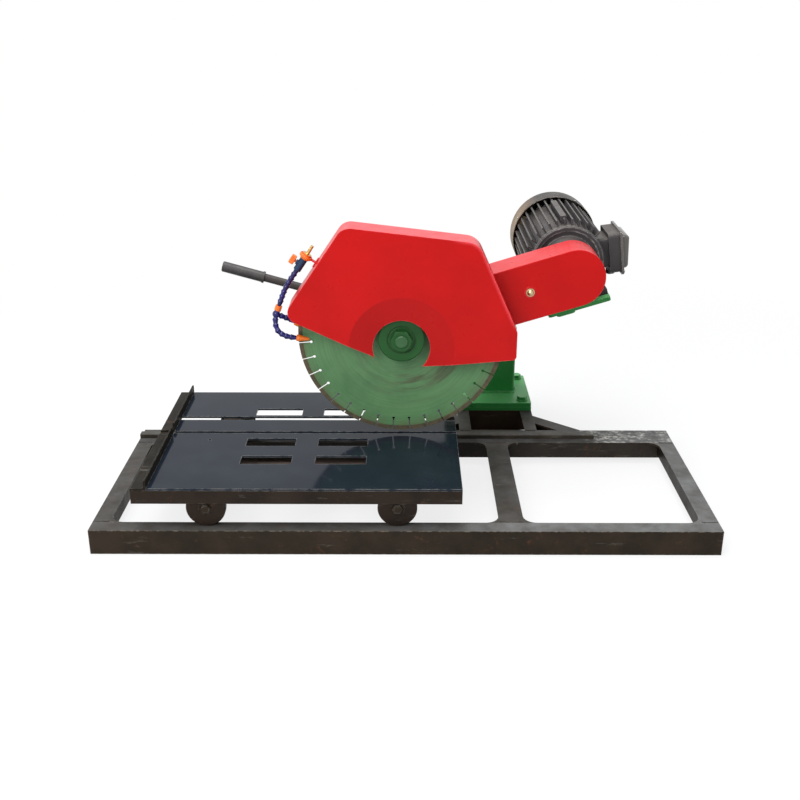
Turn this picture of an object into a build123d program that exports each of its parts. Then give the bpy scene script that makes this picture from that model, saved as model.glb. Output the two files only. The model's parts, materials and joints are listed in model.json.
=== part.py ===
# Stone cutting machine: a tilting saw head on a column, with a wheeled table that rolls under the blade.
# Millimetres, +Z up. The pieces are drawn with the blade axis at X = 0 and the blade's middle plane at Y = 0,
# then moved so that the origin is at the middle of the floor rectangle that the machine covers.
import os
from math import asin, atan2, cos, degrees, radians, sin, tan

from build123d import *

# Fits
TURN_GAP = 0.05          # radial clearance of a shaft in its bearing or bush
SEAT_GAP = 0.05          # radial clearance of a part pushed into a plain hole
SIDE_GAP = 0.4           # end clearance beside a turning part
ROLL_GAP = 0.3           # wheel tread above its track
BOLT_GAP = 0.5           # radial clearance of a bolt in its hole

# Saw blade
BLADE_DIA = 488.0        # a 500 blade with worn segments
BLADE_CORE = 3.2
SEGMENT_WIDTH = 4.0
SEGMENT_HEIGHT = 10.0
SEGMENT_COUNT = 36
GULLET_WIDTH = 3.0
KEYHOLE_DIA = 7.0
GULLET_DEPTH = 19.0      # from the edge of the core to the centre of the keyhole
BLADE_BORE = 50.0
BLADE_HEIGHT = 408.0     # blade axis above the floor

# Blade flanges and nut
FLANGE_DIA = 110.0
INNER_FLANGE = 14.0
OUTER_FLANGE = 38.0
NUT_WIDTH = 46.0
NUT_HEIGHT = 16.0
THREAD_DIA = 30.0
THREAD_STANDOUT = 5.0

# Spindle, its housing and bearings
SPINDLE_DIA = 40.0
BEARING_DIA = 80.0
BEARING_WIDTH = 18.0
HOUSING_DIA = 100.0
HOUSING_LENGTH = 190.0
CAP_THICK = 8.0
CAP_GAP = 2.0

# Belt drive
AXIS_RISE = 127.0        # motor axis above the blade axis
AXIS_RUN = 412.0         # motor axis to the right of the blade axis
SPINDLE_PITCH_DIA = 110.0
MOTOR_PITCH_DIA = 86.0
BELT_COUNT = 2
BELT_SPACING = 19.0
BELT_TOP = 13.0
BELT_HEIGHT = 8.0
BELT_PITCH_DEPTH = 2.75  # pitch line below the belt's top face
GROOVE_HALF_ANGLE = 19.0
GROOVE_GAP = 0.35
PULLEY_WIDTH = 46.0
PULLEY_RIM = 0.6         # rim above the belt's top face
BELT_SETBACK = 10.0      # belts behind the middle of their cover

# Belt cover
COVER_FRONT = 33.0       # front face behind the blade plane
COVER_DEPTH = 95.0
COVER_HALF_HEIGHT = 68.5
COVER_SHEET = 2.5
BACK_PLATE = 3.0
SHAFT_CLEARANCE = 6.0    # sheet round a shaft, radial
STUD_DIA = 10.0
STUD_REACH = 318.0       # along the arm from the blade axis
DOME_DIA = 20.0

# Blade guard
GUARD_FRONT = 56.0       # front face ahead of the blade plane
GUARD_BACK = 18.0        # back face behind the blade plane
GUARD_SHEET = 3.0
GUARD_CORNERS = (        # outline points from the blade axis, and corner radii, from the lower left round
    ((-274.0, 59.0), 26.0), ((-132.0, 268.0), 34.0), ((174.0, 232.0), 44.0),
    ((268.0, 24.0), 24.0), ((268.0, -44.0), 9.0))
GUARD_TIPS = ((52.0, -63.0), (-63.0, -40.0))   # right and left tips of the arch
GUARD_LIP = 12.0         # rim left round the guard's mouth
ARCH_RADIUS = 67.0
ARCH_DROP = 18.0         # centre of the arch below the blade axis
DISH_RADIUS = 124.0
DISH_DEPTH = 8.0
GUARD_BOLT_DIA = 10.0
GUARD_BOLT_HEAD = 6.0
GUARD_BOLT_NUT = 8.0
GUARD_BOLT_ALONG = (112.0, 186.0)
GUARD_BOLT_ACROSS = 42.0

# Motor
MOTOR_HEIGHT = 112.0     # shaft axis above its feet
MOTOR_BARREL = 180.0
FIN_DIA = 212.0
FIN_THICK = 4.0
FIN_COUNT = 34
FIN_GAP_BOX = 30.0       # degrees left without fins each side of the terminal box
FIN_GAP_FOOT = 44.0      # and each side of straight down
LIFT_RIB_TURN = 80.0     # lifting rib, in degrees up from the terminal box's side
LIFT_RIB_WIDTH = 14.0
LIFT_RIB_HEIGHT = 6.0    # above the fins
LIFT_RIB_ENDS = (14.0, 60.0)     # from the front and the back of the barrel
SHIELD_LENGTH = 64.0
SHIELD_NOSE_DIA = 96.0
SHIELD_NOSE = 24.0
SHIELD_RING = 12.0       # depth and width of the ring bolted to the barrel
REAR_SHIELD = 20.0
BARREL_LENGTH = 262.0
COWL_DIA = 224.0
COWL_LENGTH = 68.0
COWL_SHEET = 2.0
COWL_LAP = 14.0          # over the ends of the fins
COWL_DOME = 12.0
COWL_RINGS = ((34.0, 8), (60.0, 12))     # radius and number of the air slots
COWL_SLOT = 24.0
COWL_SLOT_WIDTH = 9.0
MOTOR_SHAFT_DIA = 28.0
SHAFT_TAIL = 50.0        # rotor shaft behind the barrel
FAN_DIA = 180.0
FAN_HUB_DIA = 48.0
FAN_WIDTH = 26.0
FAN_BLADE = 4.0
FAN_BLADES = 8
ROTOR_DIA = 96.0
ROTOR_GAP = 1.0          # air gap, radial
ROTOR_INSET = 24.0       # core inside the ends of the barrel
FOOT_SPAN = 124.0        # between the foot bolts, across the shaft
FOOT_PITCH = 140.0       # between the foot bolts, along the shaft
FOOT_SETBACK = 26.0      # front bolts behind the front of the barrel
FOOT_WIDTH = 34.0
FOOT_WEB = 6.0
FOOT_THICK = 14.0
FOOT_BOLT_DIA = 12.0

# Terminal box
BOX_HEIGHT = 100.0
BOX_LENGTH = 120.0
BOX_REACH = 158.0        # outer face of the lid from the motor axis
BOX_BASE = 28.0
BOX_START = 108.0        # base flange from the motor axis
GLAND_DIA = 24.0
GLAND_BORE = 14.0
GLAND_LENGTH = 22.0
GLAND_DEPTH = 4.4        # cable hole beyond the gland's own length, into the box
GLAND_SHIFT = 24.0       # behind the middle of the box
BOX_SETBACK = 14.0       # box behind the front of the barrel
BOX_CORNER = 10.0
BOX_TURN = 10.0          # degrees below the belt line
BOX_SEAT_INSET = 12.0    # seat smaller than the box, each side
LID_RIM = 6.0
LID_FLANGE = 6.0         # rim wider than the base, each side
LID_INSET = 8.0

# Swinging arm
MOTOR_PLATE = 10.0
ARM_PLATE = 14.0
ARM_START = 90.0         # left end of the arm plate, along the arm from the blade axis
ARM_END = 421.0
ARM_FRONT = 250.0
ARM_BACK = 440.0
ARM_NOSE = 48.0          # width of the nose that carries the front of the motor plate
ARM_NOSE_FRONT = 195.0
ARM_CORNER = 10.0
PLATE_HALF_WIDTH = 80.0
PLATE_FRONT = 168.0
PLATE_BACK = 404.0
PLATE_CORNER = 8.0
CHEEK_THICK = 12.0
CHEEK_FRONT = 258.0
CHEEK_BACK = 298.0
CHEEK_RIM = 14.0
CHEEK_HEEL = 40.0        # height of the cheek at its right end
PIVOT_DIA = 36.0
PIVOT_BLOCK_DIA = 60.0
BUSH_WALL = 4.0
BUSH_LENGTH = 50.0

# Handle
HANDLE_DEPTH = 158.0     # behind the blade plane
HANDLE_SLOPE = 15.6
HANDLE_REACH = 458.0     # tip from the blade axis
HANDLE_ROD_DIA = 20.0
GRIP_DIA = 26.0
GRIP_LENGTH = 106.0
GRIP_COLLAR_DIA = 29.0
GRIP_COLLAR = 5.0
GRIP_END = 6.0           # closed end of the grip
SOCKET_DIA = 34.0
SOCKET_LENGTH = 26.0

# Column and its pivot bracket
COLUMN_X = 260.0
COLUMN_WIDTH = 126.0
COLUMN_DEPTH = 80.0
COLUMN_WALL = 6.0
COLUMN_FRONT = 450.0
BASE_WIDTH = 208.0
BASE_DEPTH = 220.0
BASE_FRONT = 368.0
BASE_THICK = 12.0
PAD_THICK = 10.0
PAD_WIDTH = 48.0
COLUMN_BOLT_DIA = 16.0
COLUMN_BOLT_INSET = 24.0
BRACKET_WIDTH = 56.0
BRACKET_PLATE = 14.0
BRACKET_DROP = 38.0      # pivot axis above the bracket plate
EAR_THICK = 14.0
BRACKET_FRONT = 250.0
RIB_THICK = 12.0
STOP_REACH = 80.0        # stop screw from the pivot, along the arm
STOP_DIA = 12.0
STOP_TURN = 3.0          # degrees that the head may drop before the screw meets its ledge
STOP_DEPTH = 320.0       # screw behind the blade plane

# Frame of angle and channel iron
FRAME_REACH_LEFT = 692.0     # left end from the blade axis
FRAME_LENGTH = 1404.0
FRAME_REACH_FRONT = 322.0    # front face from the blade plane
FRAME_DEPTH = 552.0
ANGLE_LEG = 59.0
ANGLE_FLANGE = 40.0
ANGLE_THICK = 5.0
REAR_WIDTH = 80.0        # rear channel, lying with its web on top
REAR_DROP = 43.0
END_LEG = 32.0           # legs of the end angles, on the side of the windows
CROSS_FLANGE = 56.0
CROSS_LEG = 45.0
CROSS_X = 248.0
GUSSET_RADIUS = 30.0
RAIL_WIDTH = 22.0
RAIL_HEIGHT = 11.0
RAIL_INSET = 34.0        # rail from the back of the frame
RAIL_REACH = 508.0       # right end of the rail from the blade axis
RAIL_EDGE = 1.5
OUTRIGGER_BACK = 592.0
BRACE_WIDTH = 40.0
BRACE_ALONG = 118.0      # run of the brace along the rear beam
BRACE_BACK = 100.0       # run of the brace along the leg
LEG_FLANGE = 32.0

# Rolling table
TABLE_REACH_LEFT = 595.0     # left end from the blade axis
TABLE_LENGTH = 730.0
TABLE_REACH_FRONT = 305.0    # front edge from the blade plane
TABLE_DEPTH = 570.0
TABLE_TOP = 154.0
TABLE_PLATE = 5.0
KERF_WIDTH = 12.0
STRIP_WIDTH = 71.0
STRIP_GAP = 22.0
SLOT_LENGTH = 118.0
SLOT_WIDTH = 44.0
SLOT_CORNER = 3.0
SLOT_INSETS = (282.0, 455.0)     # middles of the slots from the table's left end
FRONT_SLOT_ROWS = (-58.0, -157.0)
REAR_SLOT_ROW = 129.0
PEG_HOLE_DIA = 8.0
PEG_HOLE_INSET = 132.0   # from the table's left end
PEG_HOLE_DEPTH = -44.0
TABLE_ANGLE = 32.0
TABLE_ANGLE_THICK = 4.0
FENCE_WIDTH = 36.0
FENCE_HEIGHT = 20.0
FENCE_GAP = 24.0
BEARER_WIDTH = 40.0
BEARER_THICK = 8.0
AXLE_INSETS = (163.0, 143.0)     # left axle from the table's left end, right axle from its right end
AXLE_DIA = 16.0
WHEEL_DIA = 88.0
WHEEL_WIDTH = 18.0
WHEEL_FLANGE = 6.0
WHEEL_EDGE = 2.0
RAIL_SIDE_GAP = 0.8
HUB_DIA = 30.0
HUB_LENGTH = 9.0
HANGER_THICK = 8.0
HANGER_WIDTH = 44.0
AXLE_NUT = 6.0
AXLE_NUT_WIDTH = 20.0
WHEEL_INSET = 5.0        # front wheel behind the table's front edge

# Water kit, on the left wall of the guard
WATER_DEPTH = 0.0        # depth of the kit's middle plane
VALVE_ALONG = 115.0      # valve's middle up the wall from the guard's lower left corner
VALVE_STANDOFF = 28.0    # valve's axis from the wall
VALVE_DIA = 18.0
VALVE_LENGTH = 32.0
BOSS_DIA = 12.0
BOSS_HEIGHT = 3.0
INLET_NUT_DIA = 22.0
INLET_NUT = 14.0
BARB_DIA = 8.0
BARB_LENGTH = 22.0
BARB_STEP = 5.0
BARB_GROOVE = 0.8
BARB_RELIEF = 0.3        # rings of the barb below its plain root
BARB_FILLET = 0.6        # slope at the foot of the barb
LEVER_STEM_DIA = 7.0
LEVER_STEM = 3.0
LEVER_LENGTH = 21.0
LEVER_WIDTH = 15.0
LEVER_THICK = 12.0
STRAP_WIDTH = 12.0
STRAP_THICK = 3.0
LINK_DIA = 13.2
LINK_NECK_DIA = 9.2
LINK_PITCH = 12.2
CONNECTOR_DIA = 16.0
CONNECTOR_LENGTH = 12.0
SPLIT_DIA = 18.0
SPLIT_NECK = 10.0
NOZZLE_LENGTH = 30.0
NOZZLE_TIP_DIA = 6.0
MAIN_TURNS = (0.0, 0.0, 1.0, 3.0, 4.0, 4.0, 2.0, 0.0)    # degrees between links, valve to split
FRONT_TURNS = (11.0, 13.0, 20.0, 22.0, 18.0, 14.0, 6.0)   # branch to the front of the blade
REAR_TURNS = (80.0, 0.0, 0.0, 0.0)                        # branch to the back of the blade
NOZZLE_SPREAD = 16.0     # nozzle each side of the blade plane

# Places that follow from the sizes above
HALF_CORE = BLADE_CORE / 2
ARM_ANGLE = degrees(asin(AXIS_RISE / (AXIS_RISE ** 2 + AXIS_RUN ** 2) ** 0.5))
AXIS_DISTANCE = (AXIS_RISE ** 2 + AXIS_RUN ** 2) ** 0.5
COVER_BACK = COVER_FRONT + COVER_DEPTH
DRIVE_FACE = COVER_BACK + BACK_PLATE      # motor and spindle housing start behind the back plate
HOUSING_BACK = DRIVE_FACE + HOUSING_LENGTH
BELT_MIDDLE = (COVER_FRONT + COVER_BACK) / 2 + BELT_SETBACK
BARREL_FRONT = DRIVE_FACE + SHIELD_LENGTH
BARREL_BACK = BARREL_FRONT + BARREL_LENGTH
COWL_BACK = BARREL_BACK + COWL_LENGTH
PLATE_TOP = -MOTOR_HEIGHT                 # from here down, heights across the arm from the belt line
ARM_TOP = PLATE_TOP - MOTOR_PLATE
ARM_BOTTOM = ARM_TOP - ARM_PLATE
PLATE_START = AXIS_DISTANCE - PLATE_HALF_WIDTH
PLATE_END = AXIS_DISTANCE + PLATE_HALF_WIDTH
PIVOT_ACROSS = ARM_BOTTOM - PIVOT_BLOCK_DIA / 2
PIVOT_ALONG = (COLUMN_X + PIVOT_ACROSS * sin(radians(ARM_ANGLE))) / cos(radians(ARM_ANGLE))
PIVOT_Z = BLADE_HEIGHT + PIVOT_ALONG * sin(radians(ARM_ANGLE)) + PIVOT_ACROSS * cos(radians(ARM_ANGLE))
COLUMN_BACK = COLUMN_FRONT + COLUMN_DEPTH
FRAME_LEFT = -FRAME_REACH_LEFT
FRAME_RIGHT = FRAME_LEFT + FRAME_LENGTH
FRAME_FRONT = -FRAME_REACH_FRONT
FRAME_BACK = FRAME_FRONT + FRAME_DEPTH
FRAME_TOP = ANGLE_LEG
REAR_FRONT = FRAME_BACK - REAR_WIDTH
RAIL_TOP = FRAME_TOP + RAIL_HEIGHT
BARB_PLAIN = BARB_LENGTH - 2 * BARB_STEP
RAIL_BACK = FRAME_BACK - RAIL_INSET
BASE_BOTTOM = FRAME_TOP + PAD_THICK
BASE_TOP = BASE_BOTTOM + BASE_THICK
BRACKET_TOP = PIVOT_Z - BRACKET_DROP
BRACKET_BOTTOM = BRACKET_TOP - BRACKET_PLATE
LEG_OUTER = BASE_WIDTH / 2
TABLE_LEFT = -TABLE_REACH_LEFT
TABLE_RIGHT = TABLE_LEFT + TABLE_LENGTH
TABLE_FRONT = -TABLE_REACH_FRONT
TABLE_BACK = TABLE_FRONT + TABLE_DEPTH
PLATE_UNDER = TABLE_TOP - TABLE_PLATE
PLATE_LEFT = TABLE_LEFT + FENCE_WIDTH     # the plates butt against the fence feet
AXLE_PLACES = (TABLE_LEFT + AXLE_INSETS[0], TABLE_RIGHT - AXLE_INSETS[1])
STRIP_FRONT = KERF_WIDTH / 2
STRIP_BACK = STRIP_FRONT + STRIP_WIDTH
REAR_PLATE_FRONT = STRIP_BACK + STRIP_GAP
WHEEL_RADIUS = WHEEL_DIA / 2
AXLE_Z = FRAME_TOP + ROLL_GAP + WHEEL_RADIUS
GROOVE_RADIUS = AXLE_Z - RAIL_TOP - ROLL_GAP
FRONT_WHEEL = TABLE_FRONT + WHEEL_INSET   # front face of the front wheels
REAR_GROOVE = RAIL_BACK - RAIL_WIDTH - RAIL_SIDE_GAP
REAR_WHEEL = REAR_GROOVE - WHEEL_FLANGE   # front face of the rear wheels
REAR_WHEEL_BACK = RAIL_BACK + RAIL_SIDE_GAP + WHEEL_FLANGE
ORIGIN_X = (FRAME_LEFT + FRAME_RIGHT) / 2
ORIGIN_Y = (FRAME_FRONT + OUTRIGGER_BACK) / 2

ARM = Pos(0, 0, BLADE_HEIGHT) * Rot(0, -ARM_ANGLE, 0)
MOTOR = ARM * Pos(AXIS_DISTANCE, 0, 0)
SPINDLE = Pos(0, 0, BLADE_HEIGHT)


def upright(face, y0, y1):
    """Solid between two depths from a face drawn in the X-Z plane."""
    return extrude(Plane.XZ.offset(-y0) * face, amount=y0 - y1)


def polygon(points):
    return make_face(Polyline(*points, close=True))


def box(x0, x1, y0, y1, z0, z1):
    return Pos((x0 + x1) / 2, (y0 + y1) / 2, (z0 + z1) / 2) * Box(x1 - x0, y1 - y0, z1 - z0)


def rod(radius, y0, y1, x=0.0, z=0.0):
    return Pos(x, (y0 + y1) / 2, z) * Rot(90, 0, 0) * Cylinder(radius, y1 - y0)


def turned(points):
    """Solid of revolution about the Y axis from (radius, depth) points."""
    return revolve(polygon(points), axis=Axis.Y)


def tube(outer, inner, y0, y1):
    return turned([(inner, y0), (outer, y0), (outer, y1), (inner, y1)])


def hexagon(width, y0, y1, x=0.0, z=0.0):
    return upright(Pos(x, z) * RegularPolygon(width / 2, 6, major_radius=False), y0, y1)


def standing_hexagon(width, x, y, z0, z1):
    return extrude(Pos(x, y, z0) * RegularPolygon(width / 2, 6, major_radius=False), amount=z1 - z0)


def corner_of(face, x, y):
    return face.vertices().sort_by_distance((x, y, 0))[0]


def angle_section(leg, flange, thick):
    """Rolled angle with its outer corner at (0, 0), the flange to +x and the leg down."""
    section = polygon([(0, 0), (flange, 0), (flange, -thick), (thick, -thick), (thick, -leg), (0, -leg)])
    section = fillet(corner_of(section, thick, -thick), thick)
    for x, y in ((flange, -thick), (thick, -leg)):
        section = fillet(corner_of(section, x, y), thick * 0.6)
    return section


def angle_along_x(x0, x1, corner_y, inward, top, leg, flange, thick):
    section = angle_section(leg, flange, thick)
    section = section if inward > 0 else mirror(section, about=Plane.YZ)
    return extrude(Plane.YZ.offset(x0) * Pos(corner_y, top) * section, amount=x1 - x0)


def angle_along_y(y0, y1, corner_x, inward, top, leg, flange, thick):
    section = angle_section(leg, flange, thick)
    section = section if inward > 0 else mirror(section, about=Plane.YZ)
    return upright(Pos(corner_x, top) * section, y0, y1)


def channel_section(width, drop, thick):
    """Rolled channel lying on its flanges, with the middle of its web's outer face at (0, 0)."""
    half = width / 2
    section = Pos(0, -drop / 2) * Rectangle(width, drop)
    hollow = Pos(0, -thick - drop / 2) * Rectangle(width - 2 * thick, drop)
    section -= hollow
    for side in (-1, 1):
        section = fillet(corner_of(section, side * (half - thick), -thick), thick)
        section = fillet(corner_of(section, side * (half - thick), -drop), thick * 0.6)
    return section


# Frame
def front_beam():
    return angle_along_x(FRAME_LEFT, FRAME_RIGHT, FRAME_FRONT, 1, FRAME_TOP,
                         ANGLE_LEG, ANGLE_FLANGE, ANGLE_THICK)


def rear_beam():
    middle = Pos((REAR_FRONT + FRAME_BACK) / 2, FRAME_TOP)
    section = middle * channel_section(REAR_WIDTH, REAR_DROP, ANGLE_THICK)
    return extrude(Plane.YZ.offset(FRAME_LEFT) * section, amount=FRAME_LENGTH)


def cope(beam):
    """Cut the front end of a beam clear of the front beam's flange."""
    return beam - box(FRAME_LEFT - 1, FRAME_RIGHT + 1, FRAME_FRONT, FRAME_FRONT + ANGLE_FLANGE,
                      FRAME_TOP - 2 * ANGLE_THICK, FRAME_TOP + 1)


def end_beam(edge_x, inward):
    """End angle with its leg along the window."""
    corner = edge_x + inward * ANGLE_FLANGE
    run = (FRAME_FRONT + ANGLE_THICK, REAR_FRONT)
    return cope(angle_along_y(*run, corner, -inward, FRAME_TOP, END_LEG, ANGLE_FLANGE, ANGLE_THICK))


def cross_beam():
    run = (FRAME_FRONT + ANGLE_THICK, REAR_FRONT)
    corner = CROSS_X + CROSS_FLANGE / 2
    return cope(angle_along_y(*run, corner, -1, FRAME_TOP, CROSS_LEG, CROSS_FLANGE, ANGLE_THICK))


def corner_gussets():
    """Concave corner plates of the two windows, level with the flanges."""
    front, back = FRAME_FRONT + ANGLE_FLANGE, REAR_FRONT
    left, right = FRAME_LEFT + ANGLE_FLANGE, FRAME_RIGHT - ANGLE_FLANGE
    windows = ((left, CROSS_X - CROSS_FLANGE / 2), (CROSS_X + CROSS_FLANGE / 2, right))
    radius = GUSSET_RADIUS
    plates = []
    for x, x_in in ((x, x_in) for window in windows for x, x_in in zip(window, (1, -1))):
        for y, y_in in ((front, 1), (back, -1)):
            middle = Pos(x + x_in * radius / 2, y + y_in * radius / 2)
            corner = middle * Rectangle(radius, radius)
            corner -= Pos(x + x_in * radius, y + y_in * radius) * Circle(radius)
            plates.append(Pos(0, 0, FRAME_TOP - ANGLE_THICK) * extrude(corner, amount=ANGLE_THICK))
    return plates


def rear_rail():
    """Flat bar that guides the rear wheels, welded on the rear channel."""
    place = Pos(RAIL_BACK - RAIL_WIDTH / 2, FRAME_TOP + RAIL_HEIGHT / 2)
    section = place * Rectangle(RAIL_WIDTH, RAIL_HEIGHT)
    section = chamfer(section.vertices().group_by(Axis.Y)[-1], RAIL_EDGE)
    return extrude(Plane.YZ.offset(FRAME_LEFT) * section, amount=RAIL_REACH - FRAME_LEFT)


def bolt_places():
    inset = COLUMN_BOLT_INSET
    return [(COLUMN_X + side * (LEG_OUTER - inset), y)
            for side in (-1, 1) for y in (BASE_FRONT + inset, BASE_FRONT + BASE_DEPTH - inset)]


def drill(solid, radius, places, z0, z1):
    for x, y in places:
        solid -= Pos(x, y, (z0 + z1) / 2) * Cylinder(radius, z1 - z0)
    return solid


def outrigger_angles():
    """Two legs from the rear beam to under the column, with two ties between them."""
    hole = COLUMN_BOLT_DIA / 2 + BOLT_GAP
    legs = []
    for side in (-1, 1):
        leg = angle_along_y(FRAME_BACK, OUTRIGGER_BACK, COLUMN_X + side * LEG_OUTER, -side,
                            FRAME_TOP, ANGLE_LEG, LEG_FLANGE, ANGLE_THICK)
        legs.append(drill(leg, hole, bolt_places(), FRAME_TOP - 2 * ANGLE_THICK, FRAME_TOP + 1))
    wall, inner = LEG_OUTER - ANGLE_THICK, LEG_OUTER - LEG_FLANGE
    ties = []
    for y, way in ((BASE_FRONT, 1), (OUTRIGGER_BACK, -1)):
        tie = angle_along_x(COLUMN_X - wall, COLUMN_X + wall, y, way, FRAME_TOP,
                            ANGLE_LEG, ANGLE_FLANGE, ANGLE_THICK)
        for side in (-1, 1):
            x0, x1 = sorted((COLUMN_X + side * inner, COLUMN_X + side * LEG_OUTER))
            tie -= box(x0, x1, FRAME_BACK, OUTRIGGER_BACK + 1, FRAME_TOP - 2 * ANGLE_THICK, FRAME_TOP + 1)
        ties.append(tie)
    return legs + ties


def outrigger_braces():
    """Level angle braces from each leg slanting to the rear beam."""
    slant = (BRACE_ALONG ** 2 + BRACE_BACK ** 2) ** 0.5

    def strip(side, width):
        """Plan of a strip along the brace's outer edge."""
        along, back = width * slant / BRACE_BACK, width * slant / BRACE_ALONG
        plan = [(0, BRACE_BACK), (BRACE_ALONG, 0), (BRACE_ALONG - along, 0), (0, BRACE_BACK - back)]
        return polygon([(COLUMN_X + side * (LEG_OUTER + x), FRAME_BACK + y) for x, y in plan])
    braces = []
    for side in (-1, 1):
        flange = Pos(0, 0, FRAME_TOP - ANGLE_THICK) * extrude(strip(side, BRACE_WIDTH), amount=ANGLE_THICK)
        braces.append(flange + extrude(strip(side, ANGLE_THICK), amount=FRAME_TOP - ANGLE_THICK))
    return braces


# Column
def column_pads():
    """Front and rear packing bars between the outrigger and the base plate."""
    hole = COLUMN_BOLT_DIA / 2 + BOLT_GAP
    pads = []
    for y in (BASE_FRONT, BASE_FRONT + BASE_DEPTH - PAD_WIDTH):
        pad = box(COLUMN_X - LEG_OUTER, COLUMN_X + LEG_OUTER, y, y + PAD_WIDTH, FRAME_TOP, BASE_BOTTOM)
        pads.append(drill(pad, hole, bolt_places(), FRAME_TOP - 1, BASE_BOTTOM + 1))
    return pads


def column_base_plate():
    corner = 4.0
    plan = Pos(COLUMN_X, BASE_FRONT + BASE_DEPTH / 2) * RectangleRounded(BASE_WIDTH, BASE_DEPTH, corner)
    plate = Pos(0, 0, BASE_BOTTOM) * extrude(plan, amount=BASE_THICK)
    return drill(plate, COLUMN_BOLT_DIA / 2 + BOLT_GAP, bolt_places(), BASE_BOTTOM - 1, BASE_TOP + 1)


def column_tube():
    corner = 8.0
    centre = Pos(COLUMN_X, COLUMN_FRONT + COLUMN_DEPTH / 2)
    outer = RectangleRounded(COLUMN_WIDTH, COLUMN_DEPTH, corner)
    inner = offset(outer, -COLUMN_WALL)
    return Pos(0, 0, BASE_TOP) * extrude(centre * (outer - inner), amount=BRACKET_BOTTOM - BASE_TOP)


def column_bolts():
    radius = COLUMN_BOLT_DIA / 2
    width = COLUMN_BOLT_DIA * 1.5
    head = COLUMN_BOLT_DIA * 0.62
    washer = 3.0
    bolts = []
    for x, y in bolt_places():
        below = FRAME_TOP - ANGLE_THICK - washer - head
        shank = Pos(x, y, (below + BASE_TOP) / 2) * Cylinder(radius, BASE_TOP - below)
        nut = standing_hexagon(width, x, y, FRAME_TOP - ANGLE_THICK - head, FRAME_TOP - ANGLE_THICK)
        top = standing_hexagon(width, x, y, BASE_TOP + washer, BASE_TOP + washer + head)
        disc = Pos(x, y, BASE_TOP + washer / 2) * Cylinder(width * 0.64, washer)
        bolts.append(shank + nut + top + disc)
    return bolts


def ear(y0, y1):
    """Bracket ear with a round top, bored for the pivot shaft."""
    half = BRACKET_WIDTH / 2
    face = Pos(COLUMN_X, PIVOT_Z) * Circle(half)
    face += Pos(COLUMN_X, (PIVOT_Z + BRACKET_TOP) / 2) * Rectangle(BRACKET_WIDTH, PIVOT_Z - BRACKET_TOP)
    face -= Pos(COLUMN_X, PIVOT_Z) * Circle(PIVOT_DIA / 2 + SEAT_GAP)
    return upright(face, y0, y1)


def stop_place():
    """Foot of the stop screw in the X-Z plane at rest, and the height of the ledge that it meets."""
    along = PIVOT_ALONG - STOP_REACH
    slope = radians(ARM_ANGLE)
    x = along * cos(slope) - ARM_BOTTOM * sin(slope)
    return x, BRACKET_TOP


def pivot_bracket():
    """Plate on the column top that reaches forward, two ears, a rib and the ledge of the stop screw."""
    half = BRACKET_WIDTH / 2
    bracket = box(COLUMN_X - half, COLUMN_X + half, BRACKET_FRONT, COLUMN_BACK, BRACKET_BOTTOM, BRACKET_TOP)
    bracket += box(COLUMN_X - COLUMN_WIDTH / 2, COLUMN_X + COLUMN_WIDTH / 2, COLUMN_FRONT, COLUMN_BACK,
                   BRACKET_BOTTOM, BRACKET_TOP)
    bracket += ear(BRACKET_FRONT, BRACKET_FRONT + EAR_THICK)
    bracket += ear(COLUMN_BACK - EAR_THICK, COLUMN_BACK)
    drop = (COLUMN_FRONT - BRACKET_FRONT) * 0.45
    rib = polygon([(BRACKET_FRONT + EAR_THICK, BRACKET_BOTTOM), (COLUMN_FRONT, BRACKET_BOTTOM),
                   (COLUMN_FRONT, BRACKET_BOTTOM - drop)])
    bracket += extrude(Plane.YZ.offset(COLUMN_X - RIB_THICK / 2) * rib, amount=RIB_THICK)
    x, z = stop_place()
    ledge = 2 * STOP_DIA
    bracket += box(x - ledge, COLUMN_X, STOP_DEPTH - ledge, STOP_DEPTH + ledge, z - BRACKET_PLATE, z)
    return bracket


def pivot_shaft():
    """Shaft held in both ears, with a retaining head at each end."""
    head = 6.0
    radius = PIVOT_DIA / 2
    shaft = rod(radius, BRACKET_FRONT, COLUMN_BACK)
    for y in (BRACKET_FRONT - head, COLUMN_BACK):
        shaft += rod(radius + head, y, y + head)
    return Pos(COLUMN_X, 0, PIVOT_Z) * shaft


# Swinging arm, drawn along the belt line: x along the arm, z across it, with the blade axis at the origin
def arm_plate():
    """Plate over the pivot, with a nose at its right end under the front of the motor plate."""
    def area(start, front):
        middle = Pos((start + ARM_END) / 2, (front + ARM_BACK) / 2)
        return middle * RectangleRounded(ARM_END - start, ARM_BACK - front, ARM_CORNER)
    plan = area(ARM_START, ARM_FRONT) + area(ARM_END - ARM_NOSE, ARM_NOSE_FRONT)
    plate = Pos(0, 0, ARM_BOTTOM) * extrude(plan, amount=ARM_PLATE)
    hole = STOP_DIA / 2 + SEAT_GAP
    return ARM * drill(plate, hole, [(PIVOT_ALONG - STOP_REACH, STOP_DEPTH)], ARM_BOTTOM - 1, ARM_TOP + 1)


def pivot_block():
    """Bored block under the arm plate that turns on the pivot shaft."""
    radius = PIVOT_BLOCK_DIA / 2
    y0 = BRACKET_FRONT + EAR_THICK + SIDE_GAP
    y1 = COLUMN_BACK - EAR_THICK - SIDE_GAP
    face = Circle(radius) + Pos(0, radius / 2) * Rectangle(2 * radius * 0.9, radius)
    face -= Circle(PIVOT_DIA / 2 + BUSH_WALL + SEAT_GAP)
    block = upright(face, y0, y1)
    return ARM * Pos(PIVOT_ALONG, 0, PIVOT_ACROSS) * block


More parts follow.
